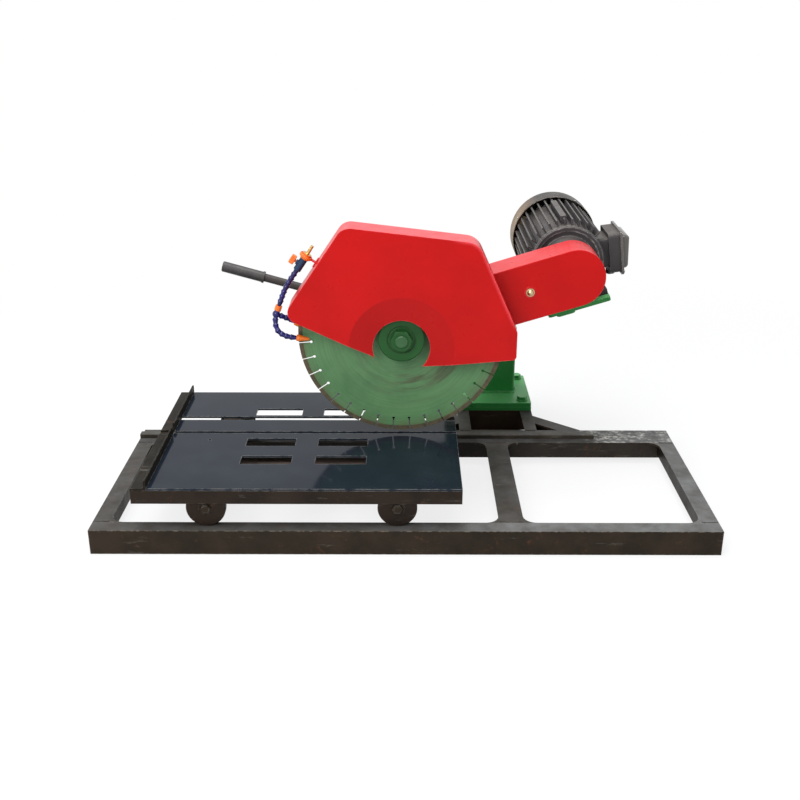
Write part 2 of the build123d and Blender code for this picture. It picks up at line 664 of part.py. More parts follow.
def pivot_bushes():
    inner = PIVOT_DIA / 2 + TURN_GAP
    y0 = BRACKET_FRONT + EAR_THICK + SIDE_GAP
    y1 = COLUMN_BACK - EAR_THICK - SIDE_GAP
    return [Pos(COLUMN_X, 0, PIVOT_Z) * tube(inner + BUSH_WALL, inner, a, b)
            for a, b in ((y0, y0 + BUSH_LENGTH), (y1 - BUSH_LENGTH, y1))]


def stop_screw():
    """Set screw and lock nut through the arm plate, square to it."""
    slope = radians(ARM_ANGLE)
    x = PIVOT_ALONG - STOP_REACH
    radius = STOP_DIA / 2
    gap = STOP_REACH * sin(radians(STOP_TURN)) + radius * sin(slope) + 0.6
    foot_height = (stop_place()[1] + gap - BLADE_HEIGHT - x * sin(slope)) / cos(slope)
    nut = STOP_DIA * 0.7
    top = ARM_TOP + nut + STOP_DIA
    screw = Pos(x, STOP_DEPTH, (foot_height + top) / 2) * Cylinder(radius, top - foot_height)
    screw += standing_hexagon(STOP_DIA * 1.6, x, STOP_DEPTH, ARM_TOP, ARM_TOP + nut)
    return ARM * screw


def spindle_cheeks():
    """Two plates that carry the spindle housing on the arm plate."""
    heel = PIVOT_ALONG + CHEEK_RIM
    rim = HOUSING_DIA / 2 + CHEEK_RIM
    hole = Circle(HOUSING_DIA / 2 + SEAT_GAP)
    body = polygon([(0, rim), (heel, ARM_TOP + CHEEK_HEEL), (heel, ARM_TOP),
                    (ARM_START, ARM_TOP), (0, -rim)])
    face = (Circle(rim) + body) - hole
    return [ARM * upright(face, y, y + CHEEK_THICK) for y in (CHEEK_FRONT, CHEEK_BACK)]


def spindle_housing():
    """Bearing tube with a welded socket for the handle."""
    radius = HOUSING_DIA / 2
    y0, y1 = DRIVE_FACE + CAP_THICK, HOUSING_BACK - CAP_THICK
    lip = 4.0
    bore = BEARING_DIA / 2 + SEAT_GAP
    inside = [(bore, y0), (radius, y0), (radius, y1), (bore, y1), (bore, y1 - BEARING_WIDTH),
              (bore - lip, y1 - BEARING_WIDTH), (bore - lip, y0 + BEARING_WIDTH), (bore, y0 + BEARING_WIDTH)]
    housing = SPINDLE * turned(inside)
    reach = SOCKET_LENGTH + radius
    socket = Cylinder(SOCKET_DIA / 2, reach) - Cylinder(HANDLE_ROD_DIA / 2 + SEAT_GAP, 4 * radius)
    socket = handle_line(reach / 2) * socket
    socket -= SPINDLE * rod(radius - 2, y0, y1)
    return housing + socket


def spindle_bearings():
    y0, y1 = DRIVE_FACE + CAP_THICK, HOUSING_BACK - CAP_THICK
    inner = SPINDLE_DIA / 2 + TURN_GAP
    return [SPINDLE * tube(BEARING_DIA / 2, inner, a, a + BEARING_WIDTH) for a in (y0, y1 - BEARING_WIDTH)]


def bearing_caps():
    inner = SPINDLE_DIA / 2 + CAP_GAP
    outer = HOUSING_DIA / 2
    return [SPINDLE * tube(outer, inner, a, a + CAP_THICK) for a in (DRIVE_FACE, HOUSING_BACK - CAP_THICK)]


def handle_line(distance):
    """Place on the handle's axis at a distance from the blade axis, with local z along the handle."""
    slope = radians(HANDLE_SLOPE)
    place = Pos(-distance * cos(slope), HANDLE_DEPTH, BLADE_HEIGHT + distance * sin(slope))
    return place * Rot(0, HANDLE_SLOPE - 90, 0)


def handle_rod():
    start = HOUSING_DIA / 2 + 1
    end = HANDLE_REACH - GRIP_END
    return handle_line((start + end) / 2) * Cylinder(HANDLE_ROD_DIA / 2, end - start)


def handle_grip():
    """Grip sleeve with a closed end and a collar beside the hand."""
    base = HANDLE_REACH - GRIP_LENGTH
    bore = HANDLE_ROD_DIA / 2 + SEAT_GAP
    end = 2.0
    grip, collar = GRIP_DIA / 2, GRIP_COLLAR_DIA / 2
    floor = GRIP_LENGTH - GRIP_END
    shape = [(bore, 0), (collar, 0), (collar, GRIP_COLLAR), (grip, GRIP_COLLAR), (grip, GRIP_LENGTH - end),
             (grip - end, GRIP_LENGTH), (0, GRIP_LENGTH), (0, floor), (bore, floor)]
    return handle_line(base) * Rot(90, 0, 0) * turned(shape)


# Belt cover
def cover_outline(grow=0.0):
    half = COVER_HALF_HEIGHT + grow
    outline = Circle(half) + Pos(AXIS_DISTANCE, 0) * Circle(half)
    return outline + Pos(AXIS_DISTANCE / 2, 0) * Rectangle(AXIS_DISTANCE, 2 * half)


def guard_bolt_places():
    """Along and across the arm."""
    return [(along, side * GUARD_BOLT_ACROSS) for along in GUARD_BOLT_ALONG for side in (-1, 1)]


def belt_cover():
    """Sheet box round the belts, open at the back, with the spindle passing through its front."""
    cover = upright(cover_outline(), COVER_FRONT, COVER_BACK)
    cover -= upright(cover_outline(-COVER_SHEET), COVER_FRONT + COVER_SHEET, COVER_BACK + 1)
    wall = (COVER_FRONT - 1, COVER_FRONT + 2 * COVER_SHEET)
    cuts = rod(SPINDLE_DIA / 2 + SHAFT_CLEARANCE, *wall)
    cuts += rod(STUD_DIA / 2 + BOLT_GAP, *wall, STUD_REACH)
    for along, across in guard_bolt_places():
        cuts += rod(GUARD_BOLT_DIA / 2 + BOLT_GAP, *wall, along, across)
    edge = cover.edges().filter_by(Plane.XZ).group_by(Axis.Y)[0]
    return ARM * (fillet(edge, COVER_SHEET * 0.8) - cuts)


def cover_back_plate():
    """Back plate clamped between the cover and the motor, with the stud that holds the cover on."""
    plate = upright(cover_outline(), COVER_BACK, DRIVE_FACE)
    plate -= rod(SPINDLE_DIA / 2 + SHAFT_CLEARANCE, COVER_BACK - 1, DRIVE_FACE + 1)
    plate -= rod(MOTOR_SHAFT_DIA / 2 + SHAFT_CLEARANCE, COVER_BACK - 1, DRIVE_FACE + 1, AXIS_DISTANCE)
    plate += rod(STUD_DIA / 2, COVER_FRONT - 4, COVER_BACK + 1, STUD_REACH)
    return ARM * plate


def cover_dome_nut():
    """Blind nut on the cover stud."""
    radius = DOME_DIA / 2
    flat, socket = 3.0, 4.5
    ball = Pos(0, -flat, 0) * Sphere(radius * 0.8)
    ball &= box(-radius, radius, -radius - flat, -flat, -radius, radius)
    nut = rod(radius, -flat, 0) + ball - rod(STUD_DIA / 2 + SEAT_GAP, -socket, 1)
    return ARM * Pos(STUD_REACH, COVER_FRONT, 0) * nut


# Blade guard
def guard_outline(inset=0.0):
    """Side view of the guard without its arch, corners rounded, moved inward by a sheet's thickness."""
    points = [point for point, _ in GUARD_CORNERS] + list(GUARD_TIPS)
    face = polygon(points)
    for point, radius in GUARD_CORNERS:
        vertex = face.vertices().sort_by_distance((*point, 0))[0]
        face = fillet(vertex, radius)
    return offset(face, -inset) if inset else face


def blade_guard():
    """Welded sheet box over the upper half of the blade, open below, with a dished front round the arbor."""
    front, back = -GUARD_FRONT, GUARD_BACK
    inner_front, inner_back = front + GUARD_SHEET, back - GUARD_SHEET
    outline = guard_outline()
    shell = upright(outline, front, back)
    shell -= upright(guard_outline(GUARD_SHEET), inner_front, inner_back)
    (left, left_z), (right, right_z) = GUARD_CORNERS[0][0], GUARD_CORNERS[-1][0]
    left += 1.5 * GUARD_LIP
    right -= GUARD_LIP
    below = -BLADE_DIA
    tips = [(x, z + GUARD_LIP) for x, z in reversed(GUARD_TIPS)]
    mouth = polygon([(left, below), (left, left_z), *tips, (right, right_z + GUARD_LIP), (right, below)])
    shell -= upright(mouth, inner_front, inner_back)
    shell -= rod(DISH_RADIUS, front - 1, inner_front, 0, -ARCH_DROP)
    dish = turned([(DISH_RADIUS, front), (DISH_RADIUS, inner_front),
                   (ARCH_RADIUS, inner_front + DISH_DEPTH), (ARCH_RADIUS, front + DISH_DEPTH)])
    shell += (Pos(0, 0, -ARCH_DROP) * dish) & upright(outline, front - 1, back)
    shell -= rod(ARCH_RADIUS, front - 1, back + 1, 0, -ARCH_DROP)
    shell = SPINDLE * shell
    for along, across in guard_bolt_places():
        shell -= ARM * rod(GUARD_BOLT_DIA / 2 + BOLT_GAP, inner_back - GUARD_SHEET, back + 1, along, across)
    return shell


def guard_bolts():
    """Bolts from inside the guard through a spacer into the belt cover, with nuts."""
    radius = GUARD_BOLT_DIA / 2
    head, nut = GUARD_BOLT_HEAD, GUARD_BOLT_NUT
    inner = GUARD_BACK - GUARD_SHEET
    wall = COVER_FRONT + COVER_SHEET
    bolts = []
    for along, across in guard_bolt_places():
        bolt = rod(radius, inner - head, wall + nut + 2, along, across)
        bolt += hexagon(GUARD_BOLT_DIA * 1.6, inner - head, inner, along, across)
        bolt += rod(2 * radius, GUARD_BACK, COVER_FRONT, along, across)
        bolt += hexagon(GUARD_BOLT_DIA * 1.6, wall, wall + nut, along, across)
        bolts.append(ARM * bolt)
    return bolts


# Spindle, blade and pulleys
def spindle_shaft():
    """Stepped shaft: thread and nut end, blade seat, collar, pulley and bearing seats."""
    nut_end = -HALF_CORE - OUTER_FLANGE - NUT_HEIGHT - THREAD_STANDOUT
    seat = BLADE_BORE / 2
    radius = SPINDLE_DIA / 2
    thread = THREAD_DIA / 2
    step = -HALF_CORE - OUTER_FLANGE * 0.6
    chamfer_size = 2.0
    end = HOUSING_BACK - CAP_THICK
    shoulder = HALF_CORE + INNER_FLANGE
    return SPINDLE * turned([
        (0, nut_end), (thread - chamfer_size, nut_end), (thread, nut_end + chamfer_size), (thread, step),
        (seat, step), (seat, shoulder), (radius, shoulder), (radius, end), (0, end)])


def pulley(pitch_dia, bore):
    """V-belt pulley about the Y axis."""
    pitch = pitch_dia / 2
    top = pitch + BELT_PITCH_DEPTH
    bottom = top - BELT_HEIGHT - 2.5
    rim = top + PULLEY_RIM
    slope = tan(radians(GROOVE_HALF_ANGLE))

    def half_width(radius):
        return BELT_TOP / 2 + GROOVE_GAP - (top - radius) * slope
    front = BELT_MIDDLE - PULLEY_WIDTH / 2
    shape = [(bore, front), (rim, front)]
    for middle in belt_places():
        shape += [(rim, middle - half_width(rim)), (bottom, middle - half_width(bottom)),
                  (bottom, middle + half_width(bottom)), (rim, middle + half_width(rim))]
    shape += [(rim, front + PULLEY_WIDTH), (bore, front + PULLEY_WIDTH)]
    return turned(shape)


def belt_places():
    first = BELT_MIDDLE - BELT_SPACING * (BELT_COUNT - 1) / 2
    return [first + BELT_SPACING * i for i in range(BELT_COUNT)]


def spindle_pulley():
    return SPINDLE * pulley(SPINDLE_PITCH_DIA, SPINDLE_DIA / 2 + SEAT_GAP)


def motor_pulley():
    return MOTOR * pulley(MOTOR_PITCH_DIA, MOTOR_SHAFT_DIA / 2 + SEAT_GAP)


def drive_belts():
    """V-belts: an arc round each pulley joined by two straight runs."""
    big, small = SPINDLE_PITCH_DIA / 2, MOTOR_PITCH_DIA / 2
    lean = degrees(asin((big - small) / AXIS_DISTANCE))
    run = AXIS_DISTANCE * cos(radians(lean))
    taper = BELT_HEIGHT * tan(radians(GROOVE_HALF_ANGLE))

    def section(pitch, middle):
        top = pitch + BELT_PITCH_DEPTH
        bottom = top - BELT_HEIGHT
        half, low = BELT_TOP / 2, BELT_TOP / 2 - taper
        return polygon([(top, middle - half), (top, middle + half),
                        (bottom, middle + low), (bottom, middle - low)])
    belts = []
    for middle in belt_places():
        arc = revolve(section(big, middle), axis=Axis.Y, revolution_arc=180 + 2 * lean)
        belt = Rot(0, -(270 + lean), 0) * arc
        belt += Pos(AXIS_DISTANCE, 0, 0) * Rot(0, lean - 90, 0) * revolve(
            section(small, middle), axis=Axis.Y, revolution_arc=180 - 2 * lean)
        for side in (1, -1):
            out = (sin(radians(lean)), 0, side * cos(radians(lean)))
            along = (cos(radians(lean)), 0, -side * sin(radians(lean)))
            plane = Plane(origin=(0, middle, 0), x_dir=out, z_dir=along)
            belt += extrude(plane * section(big, 0), amount=run)
        belts.append(ARM * belt)
    return belts


def inner_flange():
    """Driving flange behind the blade, relieved so that only its rim clamps."""
    radius, bore = FLANGE_DIA / 2, BLADE_BORE / 2 + SEAT_GAP
    relief, clamp = 1.5, radius * 0.7
    face, back = HALF_CORE, HALF_CORE + INNER_FLANGE
    return SPINDLE * turned([
        (bore, face + relief), (clamp, face + relief), (clamp, face), (radius, face),
        (radius, face + INNER_FLANGE * 0.6), (radius * 0.6, back), (bore, back)])


def outer_flange():
    """Deep front flange with stepped rings round the nut."""
    radius, seat, thread = FLANGE_DIA / 2, BLADE_BORE / 2 + SEAT_GAP, THREAD_DIA / 2 + SEAT_GAP
    relief, groove = 1.5, 3.0
    outer, inner = radius * 0.62, radius * 0.54
    front = -HALF_CORE - OUTER_FLANGE
    step = -HALF_CORE - OUTER_FLANGE * 0.6 - 0.5
    return SPINDLE * turned([
        (seat, -HALF_CORE - relief), (radius * 0.7, -HALF_CORE - relief), (radius * 0.7, -HALF_CORE),
        (radius, -HALF_CORE), (radius, front + groove), (radius - groove, front), (outer, front),
        (outer, front + groove), (inner, front + groove), (inner, front), (thread, front),
        (thread, step), (seat, step)])


def arbor_nut():
    front = -HALF_CORE - OUTER_FLANGE - NUT_HEIGHT
    back = front + NUT_HEIGHT
    half, bevel = NUT_WIDTH / 2, 4.0
    wide = half + bevel
    cone = turned([(0, front), (half, front), (wide, front + bevel), (wide, back), (0, back)])
    nut = hexagon(NUT_WIDTH, front, back) & cone
    return SPINDLE * (nut - rod(THREAD_DIA / 2 + SEAT_GAP, front - 1, back + 1))


def gullet_angles():
    """Gullets straddle the lowest point of the blade."""
    pitch = 360 / SEGMENT_COUNT
    return [-90 + pitch * (i + 0.5) for i in range(SEGMENT_COUNT)]


def blade_core():
    """Steel disc with keyhole gullets between the segments."""
    radius = BLADE_DIA / 2 - SEGMENT_HEIGHT
    keyhole = radius - GULLET_DEPTH
    gullet = Pos((keyhole + radius + 2) / 2, 0) * Rectangle(radius + 2 - keyhole, GULLET_WIDTH)
    gullet += Pos(keyhole, 0) * Circle(KEYHOLE_DIA / 2)
    cuts = Sketch() + [Rot(0, 0, angle) * gullet for angle in gullet_angles()]
    disc = Circle(radius) - Circle(BLADE_BORE / 2 + SEAT_GAP) - cuts
    return SPINDLE * upright(disc, -HALF_CORE, HALF_CORE)


def blade_segments():
    """Diamond segments brazed on the rim of the core, one between each two gullets."""
    inner, outer = BLADE_DIA / 2 - SEGMENT_HEIGHT, BLADE_DIA / 2
    half = SEGMENT_WIDTH / 2
    margin = degrees(asin(GULLET_WIDTH / 2 / inner))
    sweep = 360 / SEGMENT_COUNT - 2 * margin
    ring = polygon([(inner, -half), (outer, -half), (outer, half), (inner, half)])
    segment = revolve(ring, axis=Axis.Y, revolution_arc=sweep)
    start = 360 / SEGMENT_COUNT - margin
    return [SPINDLE * Rot(0, -angle - start, 0) * segment for angle in gullet_angles()]


# Motor, drawn about its own axis with z across the arm
def motor_plate():
    middle = Pos(AXIS_DISTANCE, (PLATE_FRONT + PLATE_BACK) / 2)
    plan = middle * RectangleRounded(2 * PLATE_HALF_WIDTH, PLATE_BACK - PLATE_FRONT, PLATE_CORNER)
    plate = Pos(0, 0, ARM_TOP) * extrude(plan, amount=MOTOR_PLATE)
    hole = FOOT_BOLT_DIA / 2 + BOLT_GAP
    places = [(AXIS_DISTANCE + x, y) for x, y in foot_places()]
    return ARM * drill(plate, hole, places, ARM_TOP - 1, PLATE_TOP + 1)


def foot_places():
    """Bolts across the shaft and in depth."""
    front = BARREL_FRONT + FOOT_SETBACK
    return [(side * FOOT_SPAN / 2, y) for side in (-1, 1) for y in (front, front + FOOT_PITCH)]


def fin_angles():
    """Fins all round, except at the terminal box and between the feet."""
    angles = [360 / FIN_COUNT * (i + 0.5) for i in range(FIN_COUNT)]

    def away(angle, middle):
        return abs((angle - middle + 180) % 360 - 180)
    return [angle for angle in angles
            if away(angle, -BOX_TURN) > FIN_GAP_BOX and away(angle, 270) > FIN_GAP_FOOT]


def motor_feet():
    """Left and right foot with the web that joins each to the barrel."""
    barrel = MOTOR_BARREL / 2
    y0 = BARREL_FRONT
    y1 = BARREL_FRONT + 2 * FOOT_SETBACK + FOOT_PITCH
    feet = []
    for side in (-1, 1):
        inner, outer = (side * (FOOT_SPAN / 2 + step * FOOT_WIDTH / 2) for step in (-1, 1))
        foot = box(*sorted((inner, outer)), y0, y1, -MOTOR_HEIGHT, -MOTOR_HEIGHT + FOOT_THICK)
        web = box(*sorted((inner, inner + side * FOOT_WEB)), y0, y1, -MOTOR_HEIGHT, -barrel / 2)
        feet.append(foot + (web - rod(barrel - FOOT_WEB / 2, y0, y1)))
    return feet


def motor_body():
    """Finned stator barrel with feet, a lifting rib on top and a seat for the terminal box."""
    barrel, tip = MOTOR_BARREL / 2, FIN_DIA / 2
    root = barrel - FIN_THICK
    fin = Pos((root + tip) / 2, 0) * Rectangle(tip - root, FIN_THICK)
    rotor = Circle(ROTOR_DIA / 2 + ROTOR_GAP)
    section = Circle(barrel) + [Rot(0, 0, angle) * fin for angle in fin_angles()] - rotor
    body = upright(section, BARREL_FRONT, BARREL_BACK)
    top = tip + LIFT_RIB_HEIGHT
    rib = Rot(0, 0, LIFT_RIB_TURN) * Pos((root + top) / 2, 0) * Rectangle(top - root, LIFT_RIB_WIDTH)
    body += upright(rib, BARREL_FRONT + LIFT_RIB_ENDS[0], BARREL_BACK - LIFT_RIB_ENDS[1])
    seat = RectangleRounded(BOX_LENGTH - 2 * BOX_SEAT_INSET, BOX_HEIGHT - 2 * BOX_SEAT_INSET, BOX_CORNER)
    seat = extrude(box_face(barrel / 2) * seat, amount=BOX_START - barrel / 2)
    body += on_box(seat) - rod(root, BARREL_FRONT, BARREL_BACK)
    for foot in motor_feet():
        body += foot
    hole = FOOT_BOLT_DIA / 2 + BOLT_GAP
    return MOTOR * drill(body, hole, foot_places(), -MOTOR_HEIGHT - 1, -MOTOR_HEIGHT + FOOT_THICK + 1)


def motor_shield():
    """Drive-end shield: a nose with the front bearing, a dished web and a ring on the barrel."""
    ring = MOTOR_BARREL / 2 + SEAT_GAP
    nose = SHIELD_NOSE_DIA / 2
    bore = MOTOR_SHAFT_DIA / 2 + TURN_GAP
    edge = 3.0
    front, back = DRIVE_FACE, BARREL_FRONT
    shoulder, face = front + SHIELD_NOSE, back - SHIELD_RING
    step = ring - SHIELD_RING
    return MOTOR * turned([
        (bore, front), (nose - edge, front), (nose, front + edge), (nose, shoulder),
        (step - SHIELD_RING, face + edge), (step, face + edge), (step, face),
        (ring - edge, face), (ring, face + edge), (ring, back), (bore, back)])


def motor_rear_shield():
    """Rear shield between the stator and the fan."""
    barrel = MOTOR_BARREL / 2
    bore = MOTOR_SHAFT_DIA / 2 + TURN_GAP
    start, rim, end = BARREL_BACK, BARREL_BACK + REAR_SHIELD * 0.4, BARREL_BACK + REAR_SHIELD
    return MOTOR * turned([(bore, start), (barrel, start), (barrel, rim), (barrel / 2, end), (bore, end)])


def fan_cowl():
    """Pressed cowl over the fan, with air slots in its back and four tabs on the rear shield."""
    radius, dome, sheet = COWL_DIA / 2, COWL_DOME, COWL_SHEET
    inner = radius - sheet
    back, front = COWL_BACK, BARREL_BACK - COWL_LAP
    shell = [(inner, front), (radius, front), (radius, back - dome), (radius - dome, back), (0, back),
             (0, back - sheet), (inner - dome + 1, back - sheet), (inner, back - dome - 1)]
    cowl = turned(shell)
    slots = Sketch()
    for ring, count in COWL_RINGS:
        slot = Pos(ring, 0) * SlotOverall(COWL_SLOT, COWL_SLOT_WIDTH)
        slots += [Rot(0, 0, 360 / count * i) * slot for i in range(count)]
    cowl -= upright(slots, back - 2 * sheet, back + 1)
    grip = MOTOR_BARREL / 2
    half = COWL_SLOT / 2
    tab = box(grip - FOOT_WEB, inner + sheet / 4, BARREL_BACK, BARREL_BACK + sheet, -half, half)
    tab -= rod(grip + SEAT_GAP, BARREL_BACK - 1, BARREL_BACK + REAR_SHIELD)
    for i in range(4):
        cowl += Rot(0, 45 + 90 * i, 0) * tab
    return MOTOR * cowl


def motor_rotor():
    """Shaft with the rotor core inside the stator."""
    radius = MOTOR_SHAFT_DIA / 2
    front = BELT_MIDDLE - PULLEY_WIDTH / 2 - 4
    shaft = rod(radius, front, BARREL_BACK + SHAFT_TAIL)
    shaft += rod(ROTOR_DIA / 2, BARREL_FRONT + ROTOR_INSET, BARREL_BACK - ROTOR_INSET)
    return MOTOR * shaft


def cooling_fan():
    """Hub and radial blades on the tail of the rotor shaft."""
    hub, tip = FAN_HUB_DIA / 2, FAN_DIA / 2
    y1 = BARREL_BACK + SHAFT_TAIL
    fan = Circle(hub)
    vane = Pos(tip / 2, 0) * Rectangle(tip, FAN_BLADE)
    for i in range(FAN_BLADES):
        fan += Rot(0, 0, 360 / FAN_BLADES * i) * vane
    return MOTOR * upright(fan - Circle(MOTOR_SHAFT_DIA / 2 + SEAT_GAP), y1 - FAN_WIDTH, y1)


def box_face(start):
    """Plane across the terminal box at a distance from the motor axis, centred on the box."""
    middle = BARREL_FRONT + BOX_SETBACK + BOX_LENGTH / 2
    return Plane(origin=(start, middle, 0), x_dir=(0, 1, 0), z_dir=(1, 0, 0))


def on_box(solid):
    """Turn a solid drawn at the motor's side to where the terminal box sits."""
    return Rot(0, BOX_TURN, 0) * solid


def gland_place():
    """Mouth of the cable hole in the box's lower wall, before the box's turn."""
    depth = BARREL_FRONT + BOX_SETBACK + BOX_LENGTH / 2 + GLAND_SHIFT
    return Pos(BOX_START + BOX_BASE / 2, depth, -BOX_HEIGHT / 2)


def terminal_box():
    """Box base on the motor's right side, with a cable gland below."""
    plan = RectangleRounded(BOX_LENGTH, BOX_HEIGHT, BOX_CORNER)
    base = extrude(box_face(BOX_START) * plan, amount=BOX_BASE)
    place = gland_place()
    nut = place * Pos(0, 0, -GLAND_LENGTH) * extrude(RegularPolygon(GLAND_DIA / 2, 6), amount=GLAND_LENGTH)
    bore = place * Cylinder(GLAND_BORE / 2, 2 * GLAND_LENGTH + 2 * GLAND_DEPTH)
    return MOTOR * on_box(base + nut - bore)


def terminal_lid():
    """Deep lid with rounded edges over the terminals, on a wider rim."""
    start = BOX_START + BOX_BASE
    face = box_face(start)
    length, height = BOX_LENGTH + 2 * LID_FLANGE, BOX_HEIGHT + 2 * LID_FLANGE
    lid = extrude(face * RectangleRounded(length, height, BOX_CORNER), amount=LID_RIM)
    length, height = BOX_LENGTH - LID_INSET, BOX_HEIGHT - 2 * LID_INSET
    dome = extrude(face * RectangleRounded(length, height, BOX_CORNER), amount=BOX_REACH - start)
    lid += fillet(dome.edges().group_by(Axis.X)[-1], BOX_CORNER)
    return MOTOR * on_box(lid)


def motor_bolts():
    radius = FOOT_BOLT_DIA / 2
    head = 8.0
    top = -MOTOR_HEIGHT + FOOT_THICK
    bolts = []
    for x, y in foot_places():
        bolt = standing_hexagon(FOOT_BOLT_DIA * 1.5, x, y, top, top + head)
        bolt += Pos(x, y, (top + ARM_TOP) / 2) * Cylinder(radius, top - ARM_TOP)
        bolts.append(MOTOR * bolt)
    return bolts


# Rolling table
def table_plate(y0, y1, rows):
    plate = box(PLATE_LEFT, TABLE_RIGHT, y0, y1, PLATE_UNDER, TABLE_TOP)
    slot = extrude(RectangleRounded(SLOT_LENGTH, SLOT_WIDTH, SLOT_CORNER), amount=3 * TABLE_PLATE)
    for row in rows:
        for inset in SLOT_INSETS:
            plate -= Pos(TABLE_LEFT + inset, row, PLATE_UNDER - TABLE_PLATE) * slot
    return plate


def front_table_plate():
    plate = table_plate(TABLE_FRONT, -KERF_WIDTH / 2, FRONT_SLOT_ROWS)
    peg = (TABLE_LEFT + PEG_HOLE_INSET, PEG_HOLE_DEPTH)
    return drill(plate, PEG_HOLE_DIA / 2, [peg], PLATE_UNDER - 1, TABLE_TOP + 1)


def centre_table_strip():
    return table_plate(STRIP_FRONT, STRIP_BACK, ())


def rear_table_plate():
    return table_plate(REAR_PLATE_FRONT, TABLE_BACK, (REAR_SLOT_ROW,))


def table_edging():
    """Flat bars on edge under the front and back of the table."""
    low = PLATE_UNDER - TABLE_ANGLE
    return [box(TABLE_LEFT, TABLE_RIGHT, y, y + TABLE_ANGLE_THICK, low, PLATE_UNDER)
            for y in (TABLE_FRONT, TABLE_BACK - TABLE_ANGLE_THICK)]


def table_bearers():
    """End angles between the edging bars, and a flat bar over each axle from hanger to hanger."""
    size, thick = TABLE_ANGLE, TABLE_ANGLE_THICK
    ends = [angle_along_y(TABLE_FRONT + thick, TABLE_BACK - thick, x, way, PLATE_UNDER, size, size, thick)
            for x, way in ((TABLE_LEFT, 1), (TABLE_RIGHT, -1))]
    front, rear = hanger_depths()
    half = BEARER_WIDTH / 2
    bars = [box(x - half, x + half, front, rear + HANGER_THICK, PLATE_UNDER - BEARER_THICK, PLATE_UNDER)
            for x in AXLE_PLACES]
    return ends + bars


def fence_angles():
    """Two stop angles on the left end angle, flush with the plates and parted where the blade passes."""
    section = angle_section(TABLE_PLATE + FENCE_HEIGHT, FENCE_WIDTH, TABLE_PLATE)
    pieces = []
    for y0, y1 in ((TABLE_FRONT, -FENCE_GAP / 2), (FENCE_GAP / 2, TABLE_BACK)):
        pieces.append(Pos(PLATE_LEFT, 0, PLATE_UNDER) * upright(Rot(0, 0, 180) * section, y0, y1))
    return pieces


def hanger_depths():
    front = FRONT_WHEEL + WHEEL_WIDTH + HUB_LENGTH + SIDE_GAP
    rear = REAR_WHEEL - HUB_LENGTH - SIDE_GAP - HANGER_THICK
    return front, rear


def axle_hangers():
    """Plates below the flat bars that hold the axles."""
    hole = AXLE_DIA / 2 + SEAT_GAP
    half = HANGER_WIDTH / 2
    top = PLATE_UNDER - BEARER_THICK
    plates = []
    for x in AXLE_PLACES:
        for y in hanger_depths():
            face = Circle(half) + Pos(0, (top - AXLE_Z) / 2) * Rectangle(HANGER_WIDTH, top - AXLE_Z)
            plates.append(Pos(x, 0, AXLE_Z) * upright(face - Circle(hole), y, y + HANGER_THICK))
    return plates


def axles():
    """Fixed axles with a nut outside each wheel."""
    radius = AXLE_DIA / 2
    front = FRONT_WHEEL - SIDE_GAP
    back = REAR_WHEEL_BACK + SIDE_GAP
    bars = []
    for x in AXLE_PLACES:
        bar = rod(radius, front - AXLE_NUT, back + AXLE_NUT, x, AXLE_Z)
        bar += hexagon(AXLE_NUT_WIDTH, front - AXLE_NUT + 1.5, front, x, AXLE_Z)
        bar += hexagon(AXLE_NUT_WIDTH, back, back + AXLE_NUT - 1.5, x, AXLE_Z)
        bars.append(bar)
    return bars


def front_wheel(x):
    """Plain disc with a rounded tread and a hub against the hanger."""
    bore, hub = AXLE_DIA / 2 + TURN_GAP, HUB_DIA / 2
    y0, y1 = FRONT_WHEEL, FRONT_WHEEL + WHEEL_WIDTH
    tread, edge = WHEEL_RADIUS, WHEEL_EDGE
    shape = [(bore, y0), (tread - edge, y0), (tread, y0 + edge), (tread, y1 - edge), (tread - edge, y1),
             (hub, y1), (hub, y1 + HUB_LENGTH), (bore, y1 + HUB_LENGTH)]
    return Pos(x, 0, AXLE_Z) * turned(shape)


def rear_wheel(x):
    """Grooved tread that straddles the rail."""
    bore, hub = AXLE_DIA / 2 + TURN_GAP, HUB_DIA / 2
    groove0 = REAR_GROOVE
    groove1 = RAIL_BACK + RAIL_SIDE_GAP
    y0, y1 = REAR_WHEEL, REAR_WHEEL_BACK
    edge = WHEEL_EDGE
    shape = [(bore, y0 - HUB_LENGTH), (hub, y0 - HUB_LENGTH), (hub, y0), (WHEEL_RADIUS - edge, y0),
             (WHEEL_RADIUS, y0 + edge), (WHEEL_RADIUS, groove0 - 0.5), (GROOVE_RADIUS, groove0),
             (GROOVE_RADIUS, groove1), (WHEEL_RADIUS, groove1 + 0.5), (WHEEL_RADIUS, y1 - edge),
             (WHEEL_RADIUS - edge, y1), (bore, y1)]
    return Pos(x, 0, AXLE_Z) * turned(shape)


# Water kit, drawn against the guard's left wall: z up the wall, x into the guard
def wall_frame():
    (x0, z0), (x1, z1) = GUARD_CORNERS[0][0], GUARD_CORNERS[1][0]
    return SPINDLE * Pos(x0, WATER_DEPTH, z0) * Rot(0, degrees(atan2(x1 - x0, z1 - z0)), 0)


def on_valve(distance, across=0.0):
    """Place on the valve's axis from its middle towards the inlet, and outward from that axis."""
    return wall_frame() * Pos(-VALVE_STANDOFF - across, 0, VALVE_ALONG + distance)


